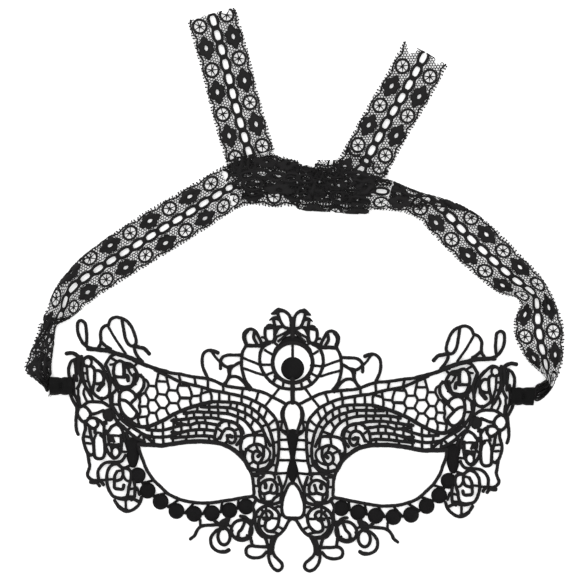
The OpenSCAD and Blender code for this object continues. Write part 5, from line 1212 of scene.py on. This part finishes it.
def hinge_point(centre, along, out=0.0, up=0.0):
    """A point near a sleeve: along the hinge line from its middle, out in the table's plane, and up."""
    c, s = math.cos(HINGE_TILT), math.sin(HINGE_TILT)
    return [centre[0] + along * c - out * s, centre[1] + along * s + out * c, HINGE_Z + up]


def draw_bundle(piece, centre, side, stations):
    """The ribbon's end, gathered into strands inside its sleeve and fanning out of the sleeve's mouth."""
    for k in range(7):
        turn = k * math.pi / 3
        radius = 1.0 if k < 6 else 0.0
        path = []
        for along in np.arange(-5.2, 5.6, 0.9):
            a = turn + along * 0.12
            path.append(hinge_point(centre, side * along, radius * math.cos(a), radius * math.sin(a)))
        share = (k + 0.6) / 7.2
        for row, up in zip(stations, (1.9, 1.2, 0.8, 0.6)):
            path.append([row[0] + (row[2] - row[0]) * share, row[1] + (row[3] - row[1]) * share, up])
        path = resample(path, 0.5)
        path[:, 2] = np.maximum(path[:, 2], 0.6)
        piece.tube(path, 1.15, 1.0, sides=8)


def draw_tape_sleeve(piece, centre, side, frayed):
    """A flattened tube of folded satin tape around the gathered ribbon: a shell with two open mouths."""
    along = np.linspace(-SLEEVE_L / 2, SLEEVE_L / 2, 56)
    turn = np.arange(96) * 2 * math.pi / 96
    u, a = np.meshgrid(along, turn, indexing="ij")
    cos, sin = np.cos(a), np.sin(a)
    pinch = (1 - 0.1 * np.exp(-((u - side * 0.2) / 1.1) ** 2)
             - 0.05 * np.exp(-((u + side * 3.4) / 0.8) ** 2))
    folds = (1 + 0.03 * np.sin(5 * a + u * 0.5) + 0.018 * np.sin(9 * a - u * 0.8 + 1)
             + 0.012 * np.sin(14 * a + 2))
    square = 0.62
    wide = SLEEVE_H / 2 * np.sign(cos) * np.abs(cos) ** square * pinch * folds
    high = SLEEVE_T / 2 * np.sign(sin) * np.abs(sin) ** 0.8 * pinch * (2 - folds) * 0.97
    slope = 0.35 * side * np.sign(cos) * np.abs(cos)
    for inner in (False, True):
        k_wide = (SLEEVE_H / 2 - SLEEVE_WALL) / (SLEEVE_H / 2) if inner else 1.0
        k_high = (SLEEVE_T / 2 - SLEEVE_WALL) / (SLEEVE_T / 2) if inner else 1.0
        p = np.stack([u + slope * (np.abs(u) / SLEEVE_L), wide * k_wide, high * k_high], -1).reshape(-1, 3)
        co = np.array([hinge_point(centre, *row) for row in p])
        co[:, 2] = np.maximum(co[:, 2], 0.05)
        thread = np.stack([a * 4, u, np.zeros_like(u)], -1).reshape(-1, 3)
        n = len(turn)
        i, k = np.meshgrid(np.arange(len(along) - 1), np.arange(n), indexing="ij")
        m = (k + 1) % n
        quads = np.stack([i * n + k, i * n + m, (i + 1) * n + m, (i + 1) * n + k], -1).reshape(-1, 4)
        outer_start = piece.count
        piece.add(co, thread, quads=quads[:, ::-1] if inner else quads)
        if inner:
            first = outer_start - len(along) * n
            for row, flip in ((0, False), (len(along) - 1, True)):
                k = np.arange(n)
                m = (k + 1) % n
                rim = np.stack([first + row * n + k, outer_start + row * n + k,
                                outer_start + row * n + m, first + row * n + m], 1)
                piece.quads.append(rim[:, ::-1] if flip else rim)
    # Hand stitches that close the tape at its pinch
    for k in range(3):
        shift = side * 0.2 + (k - 1) * 0.7
        arc = [hinge_point(centre, shift + 0.3 * math.sin(a), SLEEVE_H * 0.46 * math.cos(a),
                           SLEEVE_T * 0.47 * math.sin(a)) for a in np.linspace(0.5, 2.64, 14)]
        piece.tube(np.array(arc) + [0, 0, 0.05], 0.26, 0.22, sides=6)
    if frayed:
        for k in range(6):
            start = hinge_point(centre, -5.3 + k * 0.35, -3.4 + 0.15 * k, -1.6)
            bend = random.uniform(-0.8, 0.8)
            path = resample([start, [start[0] - 0.9 + bend * 0.3, start[1] - 0.9, 0.5],
                             [start[0] - 1.4 + bend, start[1] - 1.9 - 0.2 * k, 0.35]], 0.3)
            piece.tube(path, 0.14, 0.14, sides=5)


def tail_stations(root, lean, length):
    """A flat loose end, from a little inside the knot."""
    along, across = [math.cos(lean), math.sin(lean)], [-math.sin(lean), math.cos(lean)]
    stations = []
    for far, sway in ((TAIL_START, 0.0), (length * 0.36, 0.3), (length * 0.7, -0.25), (length, 0.1)):
        x, y = (root[k] + along[k] * far + across[k] * sway for k in range(2))
        h = RIBBON_W / 2
        stations.append([x + across[0] * h, y + across[1] * h, x - across[0] * h, y - across[1] * h,
                         TAIL_LOW] + FLAT)
    return stations


def lay_ribbon(name, strips, slot, material, bodies, nodes, extra=None):
    """One ribbon piece of laid strips, each (stations, where a wheel pair lies, period if not PERIOD)."""
    piece, total = Piece(), 0.0
    for stations, wheel, *period in strips:
        move, length, phase = band(stations, wheel)
        piece.add_piece(Ribbon(length, phase, *period), move)
        total += length
    if extra is not None:
        extra(piece)
    made = piece.build(name, material, slot, bodies, nodes)


def tail_bodies(body, root, lean):
    """The strap's body, the loose end's body, and a line along the end's root, BEND_L long."""
    start = Vector((root[0], root[1], BEND_Z)) * MM
    end = start + Vector((math.cos(lean), math.sin(lean), 0)) * BEND_L * MM
    return ("strap", body, start, end)


lay_ribbon("left_tie_ribbon", [(LEFT_TIE, [-55.75, 121.5], 22.4)], "ribbon_lace", RIBBON,
           "strap", ["left_tie"], lambda piece: draw_bundle(piece, LEFT_HINGE, LEFT, LEFT_TIE[:4]))
lay_ribbon("right_tie_ribbon", [(RIGHT_TIE, [96.0, 100.9], 22.2)], "ribbon_lace", RIBBON,
           "strap", ["right_tie"], lambda piece: draw_bundle(piece, RIGHT_HINGE, RIGHT, RIGHT_TIE[:3]))
lay_ribbon("left_knot_ribbon", LEFT_KNOT, "knot_lace", KNOT, "strap", ["left_knot_fold"])
lay_ribbon("right_knot_ribbon", RIGHT_KNOT, "knot_lace", KNOT, "strap", ["right_knot_fold"])
for name, root, lean, length, wheel in (
        ("left", LEFT_ROOT, LEFT_LEAN, LEFT_TAIL_L, [-32.0, 195.2]),
        ("right", RIGHT_ROOT, RIGHT_LEAN, RIGHT_TAIL_L, [48.3, 173.2])):
    lay_ribbon(f"{name}_tail_ribbon", [(tail_stations(root, lean, length), wheel)], "ribbon_lace",
               RIBBON, tail_bodies(f"{name}_loose_end", root, lean), [f"{name}_tail"])

for side, centre, frayed in ((LEFT, LEFT_HINGE, True), (RIGHT, RIGHT_HINGE, False)):
    name = SIDE_NAMES[side]
    piece = Piece()
    draw_tape_sleeve(piece, centre, side, frayed)
    sleeve = piece.build(f"{name}_tape_sleeve", TAPE, "sleeve_satin", "mask", [f"{name}_sleeve"])
